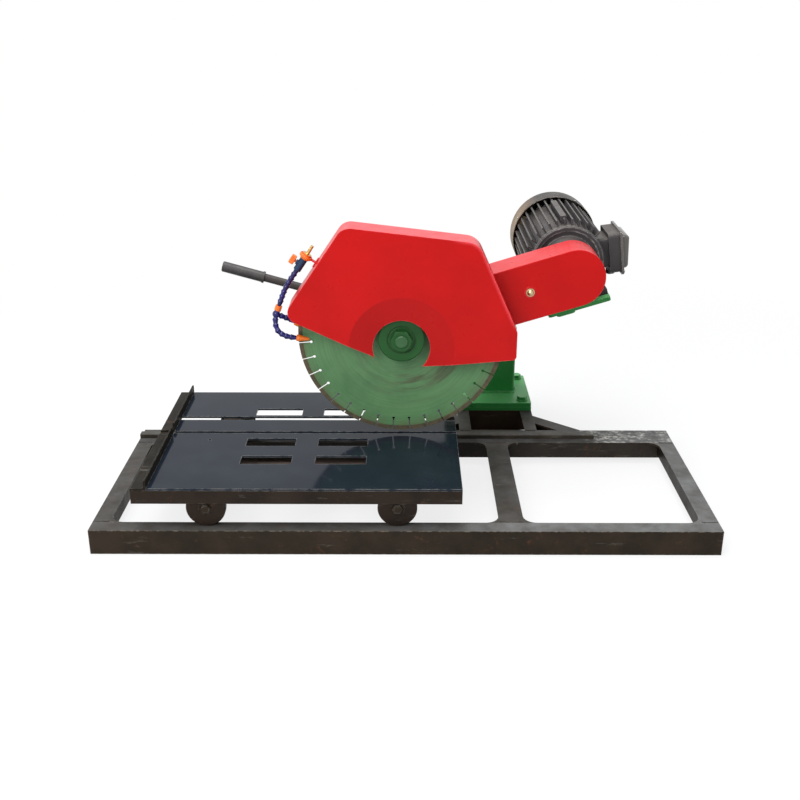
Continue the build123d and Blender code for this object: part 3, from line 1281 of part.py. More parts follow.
def water_valve():
    """Valve body with its stem boss, the inlet nut and the hose barb."""
    body = on_valve(0) * Cylinder(VALVE_DIA / 2, VALVE_LENGTH)
    body += on_valve(0, VALVE_DIA / 4 + BOSS_HEIGHT / 2) * Rot(0, 90, 0) * Cylinder(
        BOSS_DIA / 2, VALVE_DIA / 2 + BOSS_HEIGHT)
    start = VALVE_LENGTH / 2
    nut = on_valve(start + INLET_NUT / 2) * Cylinder(INLET_NUT_DIA / 2, INLET_NUT)
    root = BARB_DIA / 2
    ring, groove = root - BARB_RELIEF, root - BARB_GROOVE
    profile = [(0, 0), (root + BARB_FILLET, 0), (root, BARB_FILLET), (root, BARB_PLAIN)]
    for low in (BARB_PLAIN, BARB_PLAIN + BARB_STEP):
        profile += [(groove, low + BARB_STEP / 4), (ring, low + BARB_STEP / 2)]
    profile += [(groove, BARB_LENGTH), (0, BARB_LENGTH)]
    barb = on_valve(start + INLET_NUT) * Rot(90, 0, 0) * turned(profile)
    return [body, nut, barb]


def valve_lever():
    """Paddle on the valve's stem, in line with the flow when open."""
    top = VALVE_DIA / 2 + BOSS_HEIGHT + SIDE_GAP
    stem = on_valve(0, top + LEVER_STEM / 2) * Rot(0, 90, 0) * Cylinder(LEVER_STEM_DIA / 2, LEVER_STEM)
    paddle = fillet(Box(LEVER_THICK, LEVER_WIDTH, LEVER_LENGTH).edges(), 2.5)
    return stem + on_valve(0, top + LEVER_STEM + LEVER_THICK / 2) * paddle


def hose_bracket():
    """Foot on the guard's wall, a strut and a ring round the inlet nut."""
    height = VALVE_LENGTH / 2 + INLET_NUT / 2
    bore = INLET_NUT_DIA / 2 + SEAT_GAP
    outer = bore + STRAP_THICK
    ring = Cylinder(outer, STRAP_WIDTH / 2) - Cylinder(bore, STRAP_WIDTH)
    middle = (outer + VALVE_STANDOFF) / 2 - 0.5
    strut = Pos(middle, 0, 0) * Box(VALVE_STANDOFF - outer + 1, STRAP_WIDTH, STRAP_THICK)
    strut += Pos(VALVE_STANDOFF - STRAP_THICK / 2, 0, 0) * Box(STRAP_THICK, STRAP_WIDTH, 2 * STRAP_WIDTH)
    return on_valve(height) * (ring + strut)


def walk(start, heading, turns, depth):
    """Joint centres of a hose that starts along a heading in the X-Z plane and eases over to a depth."""
    x, y, z = start
    points = [start]
    for i, turn in enumerate(turns):
        heading += turn
        x += LINK_PITCH * cos(radians(heading))
        z += LINK_PITCH * sin(radians(heading))
        points.append((x, y + (depth - y) * min(1.0, (i + 1) / 3), z))
    return points, heading


def link_chain(points):
    """Tapered links with a ball at each joint between them."""
    chain = []
    for a, b in zip(points, points[1:]):
        run = Vector(*b) - Vector(*a)
        standing = (Align.CENTER, Align.CENTER, Align.MIN)
        link = Cone(LINK_DIA / 2, LINK_NECK_DIA / 2, run.length, align=standing)
        chain.append(Plane(origin=a, z_dir=run) * link)
    chain += [Pos(*point) * Sphere(LINK_DIA / 2) for point in points[1:-1]]
    return chain[0] + chain[1:]


def main_hose():
    start = on_valve(-VALVE_LENGTH / 2).position
    (x0, z0), (x1, z1) = GUARD_CORNERS[0][0], GUARD_CORNERS[1][0]
    down = degrees(atan2(z0 - z1, x0 - x1))
    return walk((start.X, start.Y, start.Z), down, MAIN_TURNS, WATER_DEPTH)


def hose_split():
    """Centre of the split, and the way from the upper hose to it."""
    points, heading = main_hose()
    way = Vector(cos(radians(heading)), 0, sin(radians(heading)))
    return Vector(*points[-1]) + way * (CONNECTOR_LENGTH + SPLIT_NECK), way, heading


def branches():
    centre, _, heading = hose_split()
    start = (centre.X, centre.Y, centre.Z)
    return [walk(start, heading, turns, depth)[0]
            for turns, depth in ((FRONT_TURNS, -NOZZLE_SPREAD), (REAR_TURNS, NOZZLE_SPREAD))]


def hose_links():
    """Upper hose in one piece; the split and both branches in another."""
    centre, way, _ = hose_split()
    lower = Pos(*centre) * Sphere(SPLIT_DIA / 2)
    neck = Cylinder(LINK_DIA / 2, SPLIT_NECK, align=(Align.CENTER, Align.CENTER, Align.MAX))
    lower += Plane(origin=centre, z_dir=way) * neck
    for route in branches():
        lower += link_chain(route)
    return [link_chain(main_hose()[0]), lower]


def hose_fittings():
    """Connector above the split, and a nozzle at the end of each branch."""
    centre, way, _ = hose_split()
    grip = Cylinder(CONNECTOR_DIA / 2, CONNECTOR_LENGTH, align=(Align.CENTER, Align.CENTER, Align.MAX))
    fittings = [Plane(origin=centre - way * SPLIT_NECK, z_dir=way) * grip]
    collar = NOZZLE_LENGTH / 4
    wide, tip = LINK_DIA / 2 + 1, NOZZLE_TIP_DIA / 2
    profile = [(0, 0), (wide, 0), (wide, collar), (tip, NOZZLE_LENGTH), (0, NOZZLE_LENGTH)]
    for route in branches():
        last = Vector(*route[-1])
        way_out = last - Vector(*route[-2])
        fittings.append(Plane(origin=last, z_dir=way_out) * Rot(90, 0, 0) * turned(profile))
    return fittings


# Pieces that go into one file together
def outrigger():
    return outrigger_angles() + outrigger_braces()


def bearing_housing():
    return [spindle_housing()] + bearing_caps()


def motor_shields():
    return [motor_shield(), motor_rear_shield()]


def axle_gear():
    return axles() + axle_hangers()


def head_bolts():
    return guard_bolts() + motor_bolts() + [stop_screw()]


PARTS = {
    "front_beam": front_beam,
    "rear_beam": rear_beam,
    "left_beam": lambda: end_beam(FRAME_LEFT, 1),
    "right_beam": lambda: end_beam(FRAME_RIGHT, -1),
    "cross_beam": cross_beam,
    "corner_gussets": corner_gussets,
    "rear_rail": rear_rail,
    "outrigger": outrigger,
    "column_pads": column_pads,
    "column_base_plate": column_base_plate,
    "column_tube": column_tube,
    "column_bolts": column_bolts,
    "pivot_bracket": pivot_bracket,
    "pivot_shaft": pivot_shaft,
    "arm_plate": arm_plate,
    "pivot_block": pivot_block,
    "pivot_bushes": pivot_bushes,
    "spindle_cheeks": spindle_cheeks,
    "spindle_housing": bearing_housing,
    "spindle_bearings": spindle_bearings,
    "handle_rod": handle_rod,
    "handle_grip": handle_grip,
    "belt_cover": belt_cover,
    "cover_back_plate": cover_back_plate,
    "cover_dome_nut": cover_dome_nut,
    "blade_guard": blade_guard,
    "head_bolts": head_bolts,
    "motor_plate": motor_plate,
    "motor_body": motor_body,
    "motor_shields": motor_shields,
    "fan_cowl": fan_cowl,
    "terminal_box": terminal_box,
    "terminal_lid": terminal_lid,
    "drive_belts": drive_belts,
    "hose_bracket": hose_bracket,
    "water_valve": water_valve,
    "hose_links": hose_links,
    "hose_fittings": hose_fittings,
    "valve_lever": valve_lever,
    "spindle_shaft": spindle_shaft,
    "spindle_pulley": spindle_pulley,
    "inner_flange": inner_flange,
    "outer_flange": outer_flange,
    "arbor_nut": arbor_nut,
    "blade_core": blade_core,
    "blade_segments": blade_segments,
    "motor_rotor": motor_rotor,
    "motor_pulley": motor_pulley,
    "cooling_fan": cooling_fan,
    "front_table_plate": front_table_plate,
    "centre_table_strip": centre_table_strip,
    "rear_table_plate": rear_table_plate,
    "table_edging": table_edging,
    "table_bearers": table_bearers,
    "fence_angles": fence_angles,
    "axle_gear": axle_gear,
    "wheel_front_left": lambda: front_wheel(AXLE_PLACES[0]),
    "wheel_front_right": lambda: front_wheel(AXLE_PLACES[1]),
    "wheel_rear_left": lambda: rear_wheel(AXLE_PLACES[0]),
    "wheel_rear_right": lambda: rear_wheel(AXLE_PLACES[1]),
}

os.makedirs("parts", exist_ok=True)
to_origin = Pos(-ORIGIN_X, -ORIGIN_Y, 0)
for name, make in PARTS.items():
    made = make()
    pieces = made if isinstance(made, list) else [made]
    solids = [to_origin * solid for piece in pieces for solid in piece.solids()]
    export_step(Compound(solids), f"parts/{name}.step")
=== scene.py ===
import json
import math

import bmesh
import bpy
from mathutils import Matrix, Vector


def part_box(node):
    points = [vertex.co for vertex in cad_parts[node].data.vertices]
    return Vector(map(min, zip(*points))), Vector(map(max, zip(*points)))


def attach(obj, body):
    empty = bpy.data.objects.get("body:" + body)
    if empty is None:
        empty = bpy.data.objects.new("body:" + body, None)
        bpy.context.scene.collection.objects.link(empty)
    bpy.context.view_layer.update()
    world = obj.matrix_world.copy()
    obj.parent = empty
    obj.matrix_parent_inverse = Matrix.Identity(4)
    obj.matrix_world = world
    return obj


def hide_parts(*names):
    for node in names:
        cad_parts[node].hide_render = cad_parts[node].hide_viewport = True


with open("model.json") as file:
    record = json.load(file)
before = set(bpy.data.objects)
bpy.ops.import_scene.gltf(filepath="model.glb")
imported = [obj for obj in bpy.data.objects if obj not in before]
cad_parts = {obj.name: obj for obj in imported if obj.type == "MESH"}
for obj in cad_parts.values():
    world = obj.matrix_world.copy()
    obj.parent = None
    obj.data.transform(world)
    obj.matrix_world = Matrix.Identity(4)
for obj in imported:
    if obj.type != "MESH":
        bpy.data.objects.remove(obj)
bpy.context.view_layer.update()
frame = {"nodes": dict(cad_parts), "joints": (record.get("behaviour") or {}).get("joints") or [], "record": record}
scene = bpy.context.scene

# Lengths and places are in metres. The axes come from the frame's joints.
joints = {joint["name"]: joint for joint in frame["joints"]}
BLADE_AXIS = Vector(joints["blade_spin"]["pos_m"])
MOTOR_AXIS = Vector(joints["motor_spin"]["pos_m"])
BELT_LINE = MOTOR_AXIS - BLADE_AXIS
ARM_ANGLE = math.atan2(BELT_LINE.z, BELT_LINE.x)
ARM = Matrix.Translation(BLADE_AXIS) @ Matrix.Rotation(-ARM_ANGLE, 4, "Y")
MOTOR = Matrix.Translation(MOTOR_AXIS) @ Matrix.Rotation(-ARM_ANGLE, 4, "Y")

# Water valve on the guard's left wall: x into the wall, z up it, from the valve's middle
VALVE_MIDDLE = Vector(joints["lever_turn"]["pos_m"])
LEVER_AXIS = Vector(joints["lever_turn"]["axis"])    # points away from the wall
WALL_TURN = math.atan2(LEVER_AXIS.z, -LEVER_AXIS.x)
VALVE = Matrix.Translation(VALVE_MIDDLE) @ Matrix.Rotation(WALL_TURN, 4, "Y")
VALVE_WAY = VALVE.to_3x3() @ Vector((0.0, 0.0, 1.0))
HOSE_TOP = -0.016
NUT_START = 0.016
COLLAR_MIDDLE = 0.023
TAIL_START = 0.030
COLOUR_EDGE = 0.0004     # one colour of the valve turns into the next over this height

# Hose
LINK_PITCH = 0.0122
MAIN_TURNS = (0, 0, 1, 3, 4, 4, 2, 0)                # degrees at each link, from the valve to the split
FRONT_TURNS = (11, 13, 20, 22, 18, 14, 6)
REAR_TURNS = (80, 0, 0, 0)
SPLIT_REACH = 0.022      # centre of the split beyond the last link above it
NOZZLE_SPREAD = 0.016    # each branch ahead of the split or behind it
EASING_LINKS = 3         # links over which a branch moves to its own depth

# Guard, cowl and shaft, where their finishes change, with the guard's painted shade and highlight and the cowl's
# painted light
DISH_RADIUS = 0.124
DISH_DROP = 0.018                # centre of the dish below the blade axis
DISH_AXIS = BLADE_AXIS - Vector((0.0, 0.0, DISH_DROP))
DISH_EDGE = 0.002                # its painted shade, a darker red, starts over this width
HIGHLIGHT_RIGHT = (0.11, 0.15)      # the painted highlight line fades in to the right of the blade axis
HIGHLIGHT_ABOVE = (0.025, 0.05)     # and above it
LIT_LEFT = (0.045, 0.095)      # painted light: the cowl turns tan to the left of the motor axis
PAINTED_AHEAD = (0.011, 0.010)   # the shaft's paint ends here, ahead of the blade plane

# Blade: radii, and angles in radians, over which its patterns come in or fade out
SMEAR_INSIDE, SMEAR_OUTSIDE = (0.075, 0.105), (0.185, 0.150)
SMEAR_LEFT, SMEAR_RIGHT = (-2.0, -1.3), (-0.2, -0.6)
RUST_OUTSIDE = (0.17, 0.12)
RIM_DIRT = (0.212, 0.233)

# Terminal box: x out from the motor axis, y along the motor, z up
BOX_TURN = math.radians(10)      # below the belt line
BOX_DEPTH = 0.269                # middle of the box behind the blade plane
BOX = MOTOR @ Matrix.Rotation(BOX_TURN, 4, "Y") @ Matrix.Translation((0.0, BOX_DEPTH, 0.0))
LID_START = 0.136
LID_RIM = 0.006
LID_REACH = 0.158
LID_CORNER = 0.010
LID_EDGE = 0.0008
RIM_LENGTH, RIM_HEIGHT = 0.132, 0.112
DOME_LENGTH, DOME_HEIGHT = 0.112, 0.084
DOME_INSET = 0.9 * LID_CORNER    # face inside the foot of the dome, each side
DOME_STEPS = 8
LID_SLOPE = 0.09                 # the lid's face stands further out towards the top
LID_ROUNDING = 0.0105            # rounding at mid height
ROUNDING_SLOPE = 0.06            # the rounding grows towards the top

# Screws, and the washer under the dome nut
LID_SCREW_ALONG, LID_SCREW_UP = 0.059, 0.048
COWL_RADIUS = 0.112
COWL_SCREW_DEPTH = 0.450         # behind the blade plane
COWL_SCREWS = 4
STUD_REACH = 0.318               # dome nut along the belt line from the blade axis
COVER_FRONT = 0.033              # front of the belt cover behind the blade plane

# Welds
WELD_STEP = 0.001
WELD_SINK = 0.0003               # foot of a weld below the face it lies on
WELD_TOE = 0.0004
RIPPLE, RIPPLE_STEPS = 0.09, 4   # each drop of metal thins out over these steps
WELD_END = 0.5
BEAD_WIDTH, BEAD_HEIGHT = 0.007, 0.0018
COLUMN_WELD = 0.006
TUBE_CORNER = 0.010
LEG_WIDTH = 0.032                # legs of the outrigger, flush with the column's base plate
FRONT_OFFSET = 0.0045            # front beads behind the front beam's flange
OUTER_INSET, WINDOW_INSET = 0.002, 0.003             # ends of a bead inside the edges of its beam

# Turned profiles as (radius, height)
SCREW_HEAD = [(0.0034, -0.0002), (0.0036, 0.0003), (0.0036, 0.0012), (0.0029, 0.0021), (0.0016, 0.0025)]
WASHER = [(0.0102, -0.0002), (0.0138, -0.0002), (0.0140, 0.0002), (0.0136, 0.0011), (0.0102, 0.0012)]
COLLAR = [(0.0139, -0.0034), (0.0143, -0.0036), (0.0149, -0.0026),
          (0.0149, 0.0026), (0.0143, 0.0036), (0.0139, 0.0034)]
KNURL = 0.0006
HOSE_RIM = [(0.0062, -0.0014), (0.0069, -0.0011), (0.0073, 0.0), (0.0069, 0.0011), (0.0062, 0.0014)]
WHEEL_LAND = [(0.0125, -0.0002), (0.0170, -0.0002), (0.0170, 0.0004),
              (0.0164, 0.0009), (0.0131, 0.0009), (0.0125, 0.0004)]

# Fineness of the meshes and of the edges in the finishes
CORNER_STEPS = 6
TUBE_STEPS = 8
ARCH_POINTS = 7
SHARP_ANGLE = math.radians(35)
BEVEL_SAMPLES = 6
NOISE_LOW, NOISE_HIGH = 0.3, 0.7  # most of a noise lies between these values

# Floor, light and camera
FLOOR_REACH = 60.0
FLOOR_DROP = 0.0005
FLOOR_PALE = (0.86, 0.86, 0.86, 1.0)
# Painted shade on the floor below the table and the column's foot
PAINTED_FLOOR_SHADE = (0.17, 0.13, 0.11, 1.0)
SHADE_EDGE = 0.03
GLOW_NEAR, GLOW_FAR = 0.9, 2.2   # the floor glows fully only from the far distance on
GLOW_LEAST = 0.80
SKY = (0.94, 0.97, 1.0, 1.0)
SKY_STRENGTH = 0.62
WHITE = (1.0, 1.0, 1.0, 1.0)
SENSOR_WIDTH, FOCAL_LENGTH = 36.0, 46.72             # millimetres
CAMERA_PLACE = (-0.0036, -2.4672, 1.1916)
CAMERA_DOWN, CAMERA_TURN = math.radians(22.19), math.radians(0.243)


def colour(red, green, blue):
    """Linear colour from display values of 0 to 255."""
    def linear(value):
        value /= 255
        return value / 12.92 if value <= 0.04045 else ((value + 0.055) / 1.055) ** 2.4
    return (linear(red), linear(green), linear(blue), 1.0)


# Colours that several finishes share
BROWN, DEEP_BROWN = colour(48, 39, 30), colour(35, 29, 22)
RED, DEEP_RED = colour(190, 9, 9), colour(178, 7, 7)
# The second red is painted light for level tops
PALE_RED, LIT_TOP_RED = colour(246, 92, 100), colour(244, 108, 118)
GREY, DEEP_GREY = colour(68, 65, 66), colour(52, 49, 50)
STEEL, DEEP_STEEL = colour(176, 177, 178), colour(150, 150, 150)
ORANGE, DEEP_ORANGE = colour(238, 122, 36), colour(218, 98, 26)

FINISHES = {}            # materials by name, filled as they are made


class Nodes:
    """A tree of shader nodes, with short calls that add to it."""

    def __init__(self, owner):
        owner.use_nodes = True
        self.tree = owner.node_tree
        self.tree.nodes.clear()

    def feed(self, node, name, value):
        """Link a socket to an input, or set the input's own value."""
        if isinstance(value, bpy.types.NodeSocket):
            self.tree.links.new(value, node.inputs[name])
        else:
            node.inputs[name].default_value = value

    def node(self, kind, inputs=None, **settings):
        node = self.tree.nodes.new(kind)
        for name, value in settings.items():
            setattr(node, name, value)
        for name, value in (inputs or {}).items():
            self.feed(node, name, value)
        return node

    def math(self, operation, first, second=0.0):
        return self.node("ShaderNodeMath", {0: first, 1: second}, operation=operation).outputs[0]

    def product(self, value, *factors):
        for factor in factors:
            value = self.math("MULTIPLY", value, factor)
        return value

    def vector_math(self, operation, *vectors):
        return self.node("ShaderNodeVectorMath", dict(enumerate(vectors)), operation=operation).outputs

    def split(self, vector):
        """The three coordinates of a vector."""
        return self.node("ShaderNodeSeparateXYZ", {0: vector}).outputs

    def band(self, value, low, high, to_low=0.0, to_high=1.0):
        """Straight line from one value to another between two limits, level outside them."""
        inputs = {"Value": value, "From Min": low, "From Max": high, "To Min": to_low, "To Max": to_high}
        return self.node("ShaderNodeMapRange", inputs).outputs["Result"]


class Finish(Nodes):
    """A material with one principled shader, and the patterns that feed it."""

    def __init__(self, name, **inputs):
        FINISHES[name] = bpy.data.materials.new(name)
        super().__init__(FINISHES[name])
        self.shader = self.node("ShaderNodeBsdfPrincipled", inputs)
        self.node("ShaderNodeOutputMaterial", {"Surface": self.shader.outputs["BSDF"]})
        self.place = self.node("ShaderNodeTexCoord").outputs["Object"]
        self.normal = self.node("ShaderNodeNewGeometry").outputs["Normal"]

    def noise(self, scale, detail=3.0, rough=0.55, vector=None):
        """Fractal noise with a scale in spots per metre."""
        inputs = {"Vector": vector or self.place, "Scale": scale, "Detail": detail, "Roughness": rough}
        return self.node("ShaderNodeTexNoise", inputs).outputs["Fac"]

    def spread(self, noise, least, most):
        """Values from least to most over the range that a noise covers."""
        return self.band(noise, NOISE_LOW, NOISE_HIGH, least, most)

    def stretched(self, *factors):
        return self.vector_math("MULTIPLY", self.place, factors)["Vector"]

    def away_from(self, point):
        return self.vector_math("SUBTRACT", self.place, point)["Vector"]

    def mix(self, factor, first, second):
        """Mix of two colours, whose sockets have the numbers 6 and 7."""
        return self.node("ShaderNodeMix", {0: factor, 6: first, 7: second}, data_type="RGBA").outputs[2]

    def grade(self, value, low, high, first, second):
        """From one colour to another as a value goes from one limit to another."""
        return self.mix(self.band(value, low, high), first, second)

    def softened(self, radius):
        """Surface direction with the edges rounded."""
        return self.node("ShaderNodeBevel", {"Radius": radius}, samples=BEVEL_SAMPLES).outputs["Normal"]

    def edges(self, radius):
        """1 along sharp edges, 0 on flat faces."""
        likeness = self.vector_math("DOT_PRODUCT", self.softened(radius), self.normal)["Value"]
        return self.band(likeness, 0.99, 0.86)

    def facing_up(self):
        """1 on level tops, 0 on walls."""
        return self.band(self.split(self.normal)["Z"], 0.5, 0.95)

    def polar(self, axis):
        """Radius from an axis along Y, and the angle round it."""
        x, _, z = self.split(self.away_from(axis))
        square = self.math("ADD", self.product(x, x), self.product(z, z))
        return self.math("SQRT", square), self.math("ARCTAN2", z, x)

    def roughen(self, value):
        self.feed(self.shader, "Roughness", value)

    def bump(self, height, strength, distance, edge=0.0008):
        """Relief on the surface, with its edges rounded."""
        inputs = {"Strength": strength, "Distance": distance, "Height": height, "Normal": self.softened(edge)}
        self.feed(self.shader, "Normal", self.node("ShaderNodeBump", inputs).outputs["Normal"])

    def paint(self, value):
        self.feed(self.shader, "Base Color", value)


def enamel(name, main, deep, wear_and_highlight, gloss, ior=1.3, lit_top=None, lightening=0.0, dust=0.0, chips_and_highlight=0.3, peel=0.12,
           edge=0.0016, dish=None, highlight_edge=0.0):
    """Brushed or sprayed paint: clouded colour, tops painted paler as lit from above, edges paler by chips and
    painted highlight, painted shade in the guard's dish, a painted highlight line on its upper right edges, dust,
    orange peel.
    """
    finish = Finish(name, IOR=ior)
    cloud = finish.noise(7.0, detail=4.0)
    tone = finish.grade(cloud, 0.35, 0.68, main, deep)
    # Painted shade: the guard's dish is darker red inside its rim, as if facing away from the light
    if dish:
        radius, _ = finish.polar(DISH_AXIS)
        dish_shade = finish.grade(cloud, 0.35, 0.68, dish, deep)
        tone = finish.grade(radius, DISH_RADIUS, DISH_RADIUS - DISH_EDGE, tone, dish_shade)
    # Painted light: level tops turn paler, as if lit from above
    if lit_top:
        tone = finish.mix(finish.product(finish.facing_up(), lightening), tone, lit_top)
    flecks = finish.band(finish.noise(90.0, detail=6.0, rough=0.7), 0.36, 0.62)
    # Paler edges: real chips, and painted highlight where light would catch the rounded edges
    tone = finish.mix(finish.product(finish.edges(edge), flecks, chips_and_highlight), tone, wear_and_highlight)
    # Painted highlight: a pale line along the guard's upper right edges
    if highlight_edge:
        right, _, above = finish.split(finish.away_from(BLADE_AXIS))
        upper_right = finish.product(finish.band(right, *HIGHLIGHT_RIGHT), finish.band(above, *HIGHLIGHT_ABOVE))
        tone = finish.mix(finish.product(finish.edges(highlight_edge), upper_right, 0.8), tone, wear_and_highlight)
    rough = finish.spread(finish.noise(35.0, detail=5.0), gloss, gloss + 0.12)
    if dust:
        patches = finish.band(finish.noise(22.0, detail=6.0, rough=0.65), 0.3, 0.75)
        settled = finish.product(finish.facing_up(), patches, dust)
        tone = finish.mix(settled, tone, colour(150, 140, 122))
        rough = finish.math("ADD", rough, finish.product(settled, 0.5))
    finish.roughen(rough)
    finish.bump(finish.noise(420.0, detail=2.0), strength=peel, distance=0.0006)
    finish.paint(tone)


def table_finish():
    """Dark polished lacquer, with fine scratches along the table and a few dull smears."""
    finish = Finish("table_paint", IOR=1.21)
    streaks = finish.noise(30.0, detail=6.0, rough=0.65, vector=finish.stretched(0.5, 9.0, 1.0))
    smears = finish.noise(9.0, detail=5.0)
    tone = finish.grade(smears, 0.45, 0.75, colour(23, 30, 40), colour(32, 39, 48))
    # Paler edges: chips, and painted highlight along the plates' edges
    flecks = finish.band(finish.noise(60.0, detail=5.0), 0.36, 0.54)
    tone = finish.mix(finish.product(finish.edges(radius=0.0024), flecks), tone, colour(126, 125, 122))
    finish.roughen(finish.band(streaks, 0.35, 0.75, 0.06, 0.17))
    finish.bump(streaks, strength=0.03, distance=0.0003)
    finish.paint(tone)


def frame_finish(name, main, deep, dust, reach=(0.42, 0.66), crust=None, ior=1.19, side_shade=None, edge=0.0018,
                 rubbed=0.6):
    """Thin dark enamel over rolled iron: rust, scuffs, worn edges, stone dust towards the free end, and sideways
    faces painted darker as shade where a side shade is given.
    """
    finish = Finish(name, IOR=ior)
    along = finish.split(finish.place)["X"]
    cloud = finish.noise(11.0, detail=5.0, rough=0.6)
    tone = finish.grade(cloud, 0.36, 0.66, main, deep)
    rust = finish.band(finish.noise(38.0, detail=7.0, rough=0.7), 0.60, 0.72)
    tone = finish.mix(finish.product(rust, 0.5), tone, colour(92, 58, 36))
    scuff = finish.noise(26.0, detail=7.0, rough=0.72, vector=finish.stretched(0.35, 1.6, 2.2))
    tone = finish.mix(finish.product(finish.band(scuff, 0.60, 0.72), 0.3), tone, colour(128, 124, 116))
    settled = finish.band(finish.noise(16.0, detail=6.0, rough=0.6), 0.25, 0.75, *dust)
    settled = finish.product(settled, finish.band(along, *reach, 0.4, 1.0), finish.facing_up())
    tone = finish.mix(settled, tone, colour(126, 128, 128))
    flecks = finish.band(finish.noise(70.0, detail=6.0), 0.46, 0.6)
    tone = finish.mix(finish.product(finish.edges(edge), flecks, rubbed), tone, colour(124, 116, 104))
    # Painted shade: faces turned sideways are darkened towards the side shade colour
    if side_shade:
        sideways = finish.math("ABSOLUTE", finish.split(finish.normal)["X"])
        tone = finish.mix(finish.band(sideways, 0.6, 0.9, 0.0, 0.85), tone, side_shade)
    relief = finish.noise(160.0, detail=5.0, rough=0.6)
    strength = 0.25
    if crust is not None:
        spatter = finish.noise(85.0, detail=9.0, rough=0.7, vector=finish.stretched(0.7, 1.0, 1.0))
        patches = finish.band(finish.noise(26.0), 0.40, 0.56)
        beyond = finish.band(along, crust, crust + 0.05)
        lumps = finish.product(finish.band(spatter, 0.47, 0.63), beyond, patches, finish.facing_up())
        tone = finish.mix(lumps, tone, colour(206, 202, 196))
        relief = finish.math("ADD", relief, finish.product(lumps, 1.5))
        strength = 0.6
    finish.roughen(finish.spread(cloud, 0.34, 0.56))
    finish.bump(relief, strength, distance=0.0009)
    finish.paint(tone)


def blade_finish():
    """Green lacquer on a steel disc: turning rings, scuffs in arcs, rust-brown smears, a dirty rim."""
    finish = Finish("blade_paint", IOR=1.3)
    radius, angle = finish.polar(BLADE_AXIS)

    def arcs(across, round_it, detail):
        """Noise drawn out round the axis."""
        inputs = {0: finish.product(radius, across), 1: finish.product(angle, round_it)}
        vector = finish.node("ShaderNodeCombineXYZ", inputs).outputs[0]
        return finish.noise(1.0, detail, rough=0.6, vector=vector)

    rings = arcs(260.0, 1.6, detail=4.0)
    scuffs = arcs(46.0, 0.9, detail=3.0)
    cloud = finish.noise(13.0, detail=5.0, rough=0.6)
    tone = finish.grade(rings, NOISE_LOW, NOISE_HIGH, colour(86, 130, 86), colour(102, 143, 98))
    tone = finish.mix(finish.product(finish.band(cloud, 0.42, 0.7), 0.6), tone, colour(72, 110, 74))
    middle = finish.product(finish.band(radius, *SMEAR_INSIDE), finish.band(radius, *SMEAR_OUTSIDE))
    lower_right = finish.product(finish.band(angle, *SMEAR_LEFT), finish.band(angle, *SMEAR_RIGHT))
    share = finish.band(lower_right, 0.0, 1.0, 0.25, 0.75)
    smear = finish.product(finish.band(scuffs, 0.46, 0.62), middle, share)
    tone = finish.mix(smear, tone, colour(84, 84, 66))
    rust = finish.band(finish.noise(24.0, detail=6.0, rough=0.65), 0.60, 0.68)
    rust = finish.product(rust, finish.band(radius, *RUST_OUTSIDE), 0.7)
    tone = finish.mix(rust, tone, colour(158, 104, 62))
    dirt = finish.spread(finish.noise(40.0, detail=5.0), 0.0, 0.7)
    dirt = finish.product(finish.band(radius, *RIM_DIRT), dirt)
    tone = finish.mix(dirt, tone, colour(98, 104, 76))
    finish.roughen(finish.spread(rings, 0.36, 0.52))
    finish.bump(rings, strength=0.12, distance=0.0003, edge=0.0004)
    finish.paint(tone)


def grit_finish():
    """Sintered diamond segment."""
    finish = Finish("segment_metal", Metallic=0.35)
    grains = finish.noise(900.0, detail=4.0, rough=0.7)
    cloud = finish.noise(60.0, detail=4.0)
    tone = finish.grade(cloud, 0.35, 0.65, colour(96, 86, 64), colour(74, 68, 52))
    tone = finish.grade(grains, 0.58, 0.68, tone, colour(146, 134, 108))
    finish.roughen(finish.spread(grains, 0.5, 0.75))
    finish.bump(grains, strength=0.5, distance=0.0006, edge=0.0003)
    finish.paint(tone)


def metal(name, main, deep, rough):
    """Bare metal with drawing marks along X."""
    finish = Finish(name, Metallic=1.0)
    marks = finish.noise(500.0, rough=0.6, vector=finish.stretched(0.15, 1.0, 1.0))
    cloud = finish.noise(28.0, detail=5.0, rough=0.6)
    finish.roughen(finish.spread(marks, rough, rough + 0.16))
    finish.bump(marks, strength=0.08, distance=0.0003, edge=0.0005)
    finish.paint(finish.grade(cloud, NOISE_LOW, NOISE_HIGH, main, deep))


def plastic(name, main, deep, rough):
    """Moulded plastic with a fine mat skin and grubby hollows."""
    finish = Finish(name, IOR=1.48)
    cloud = finish.noise(60.0, detail=5.0)
    finish.roughen(finish.spread(cloud, rough, rough + 0.14))
    finish.bump(finish.noise(700.0, detail=2.0), strength=0.08, distance=0.0004, edge=0.0004)
    finish.paint(finish.grade(cloud, 0.35, 0.7, main, deep))


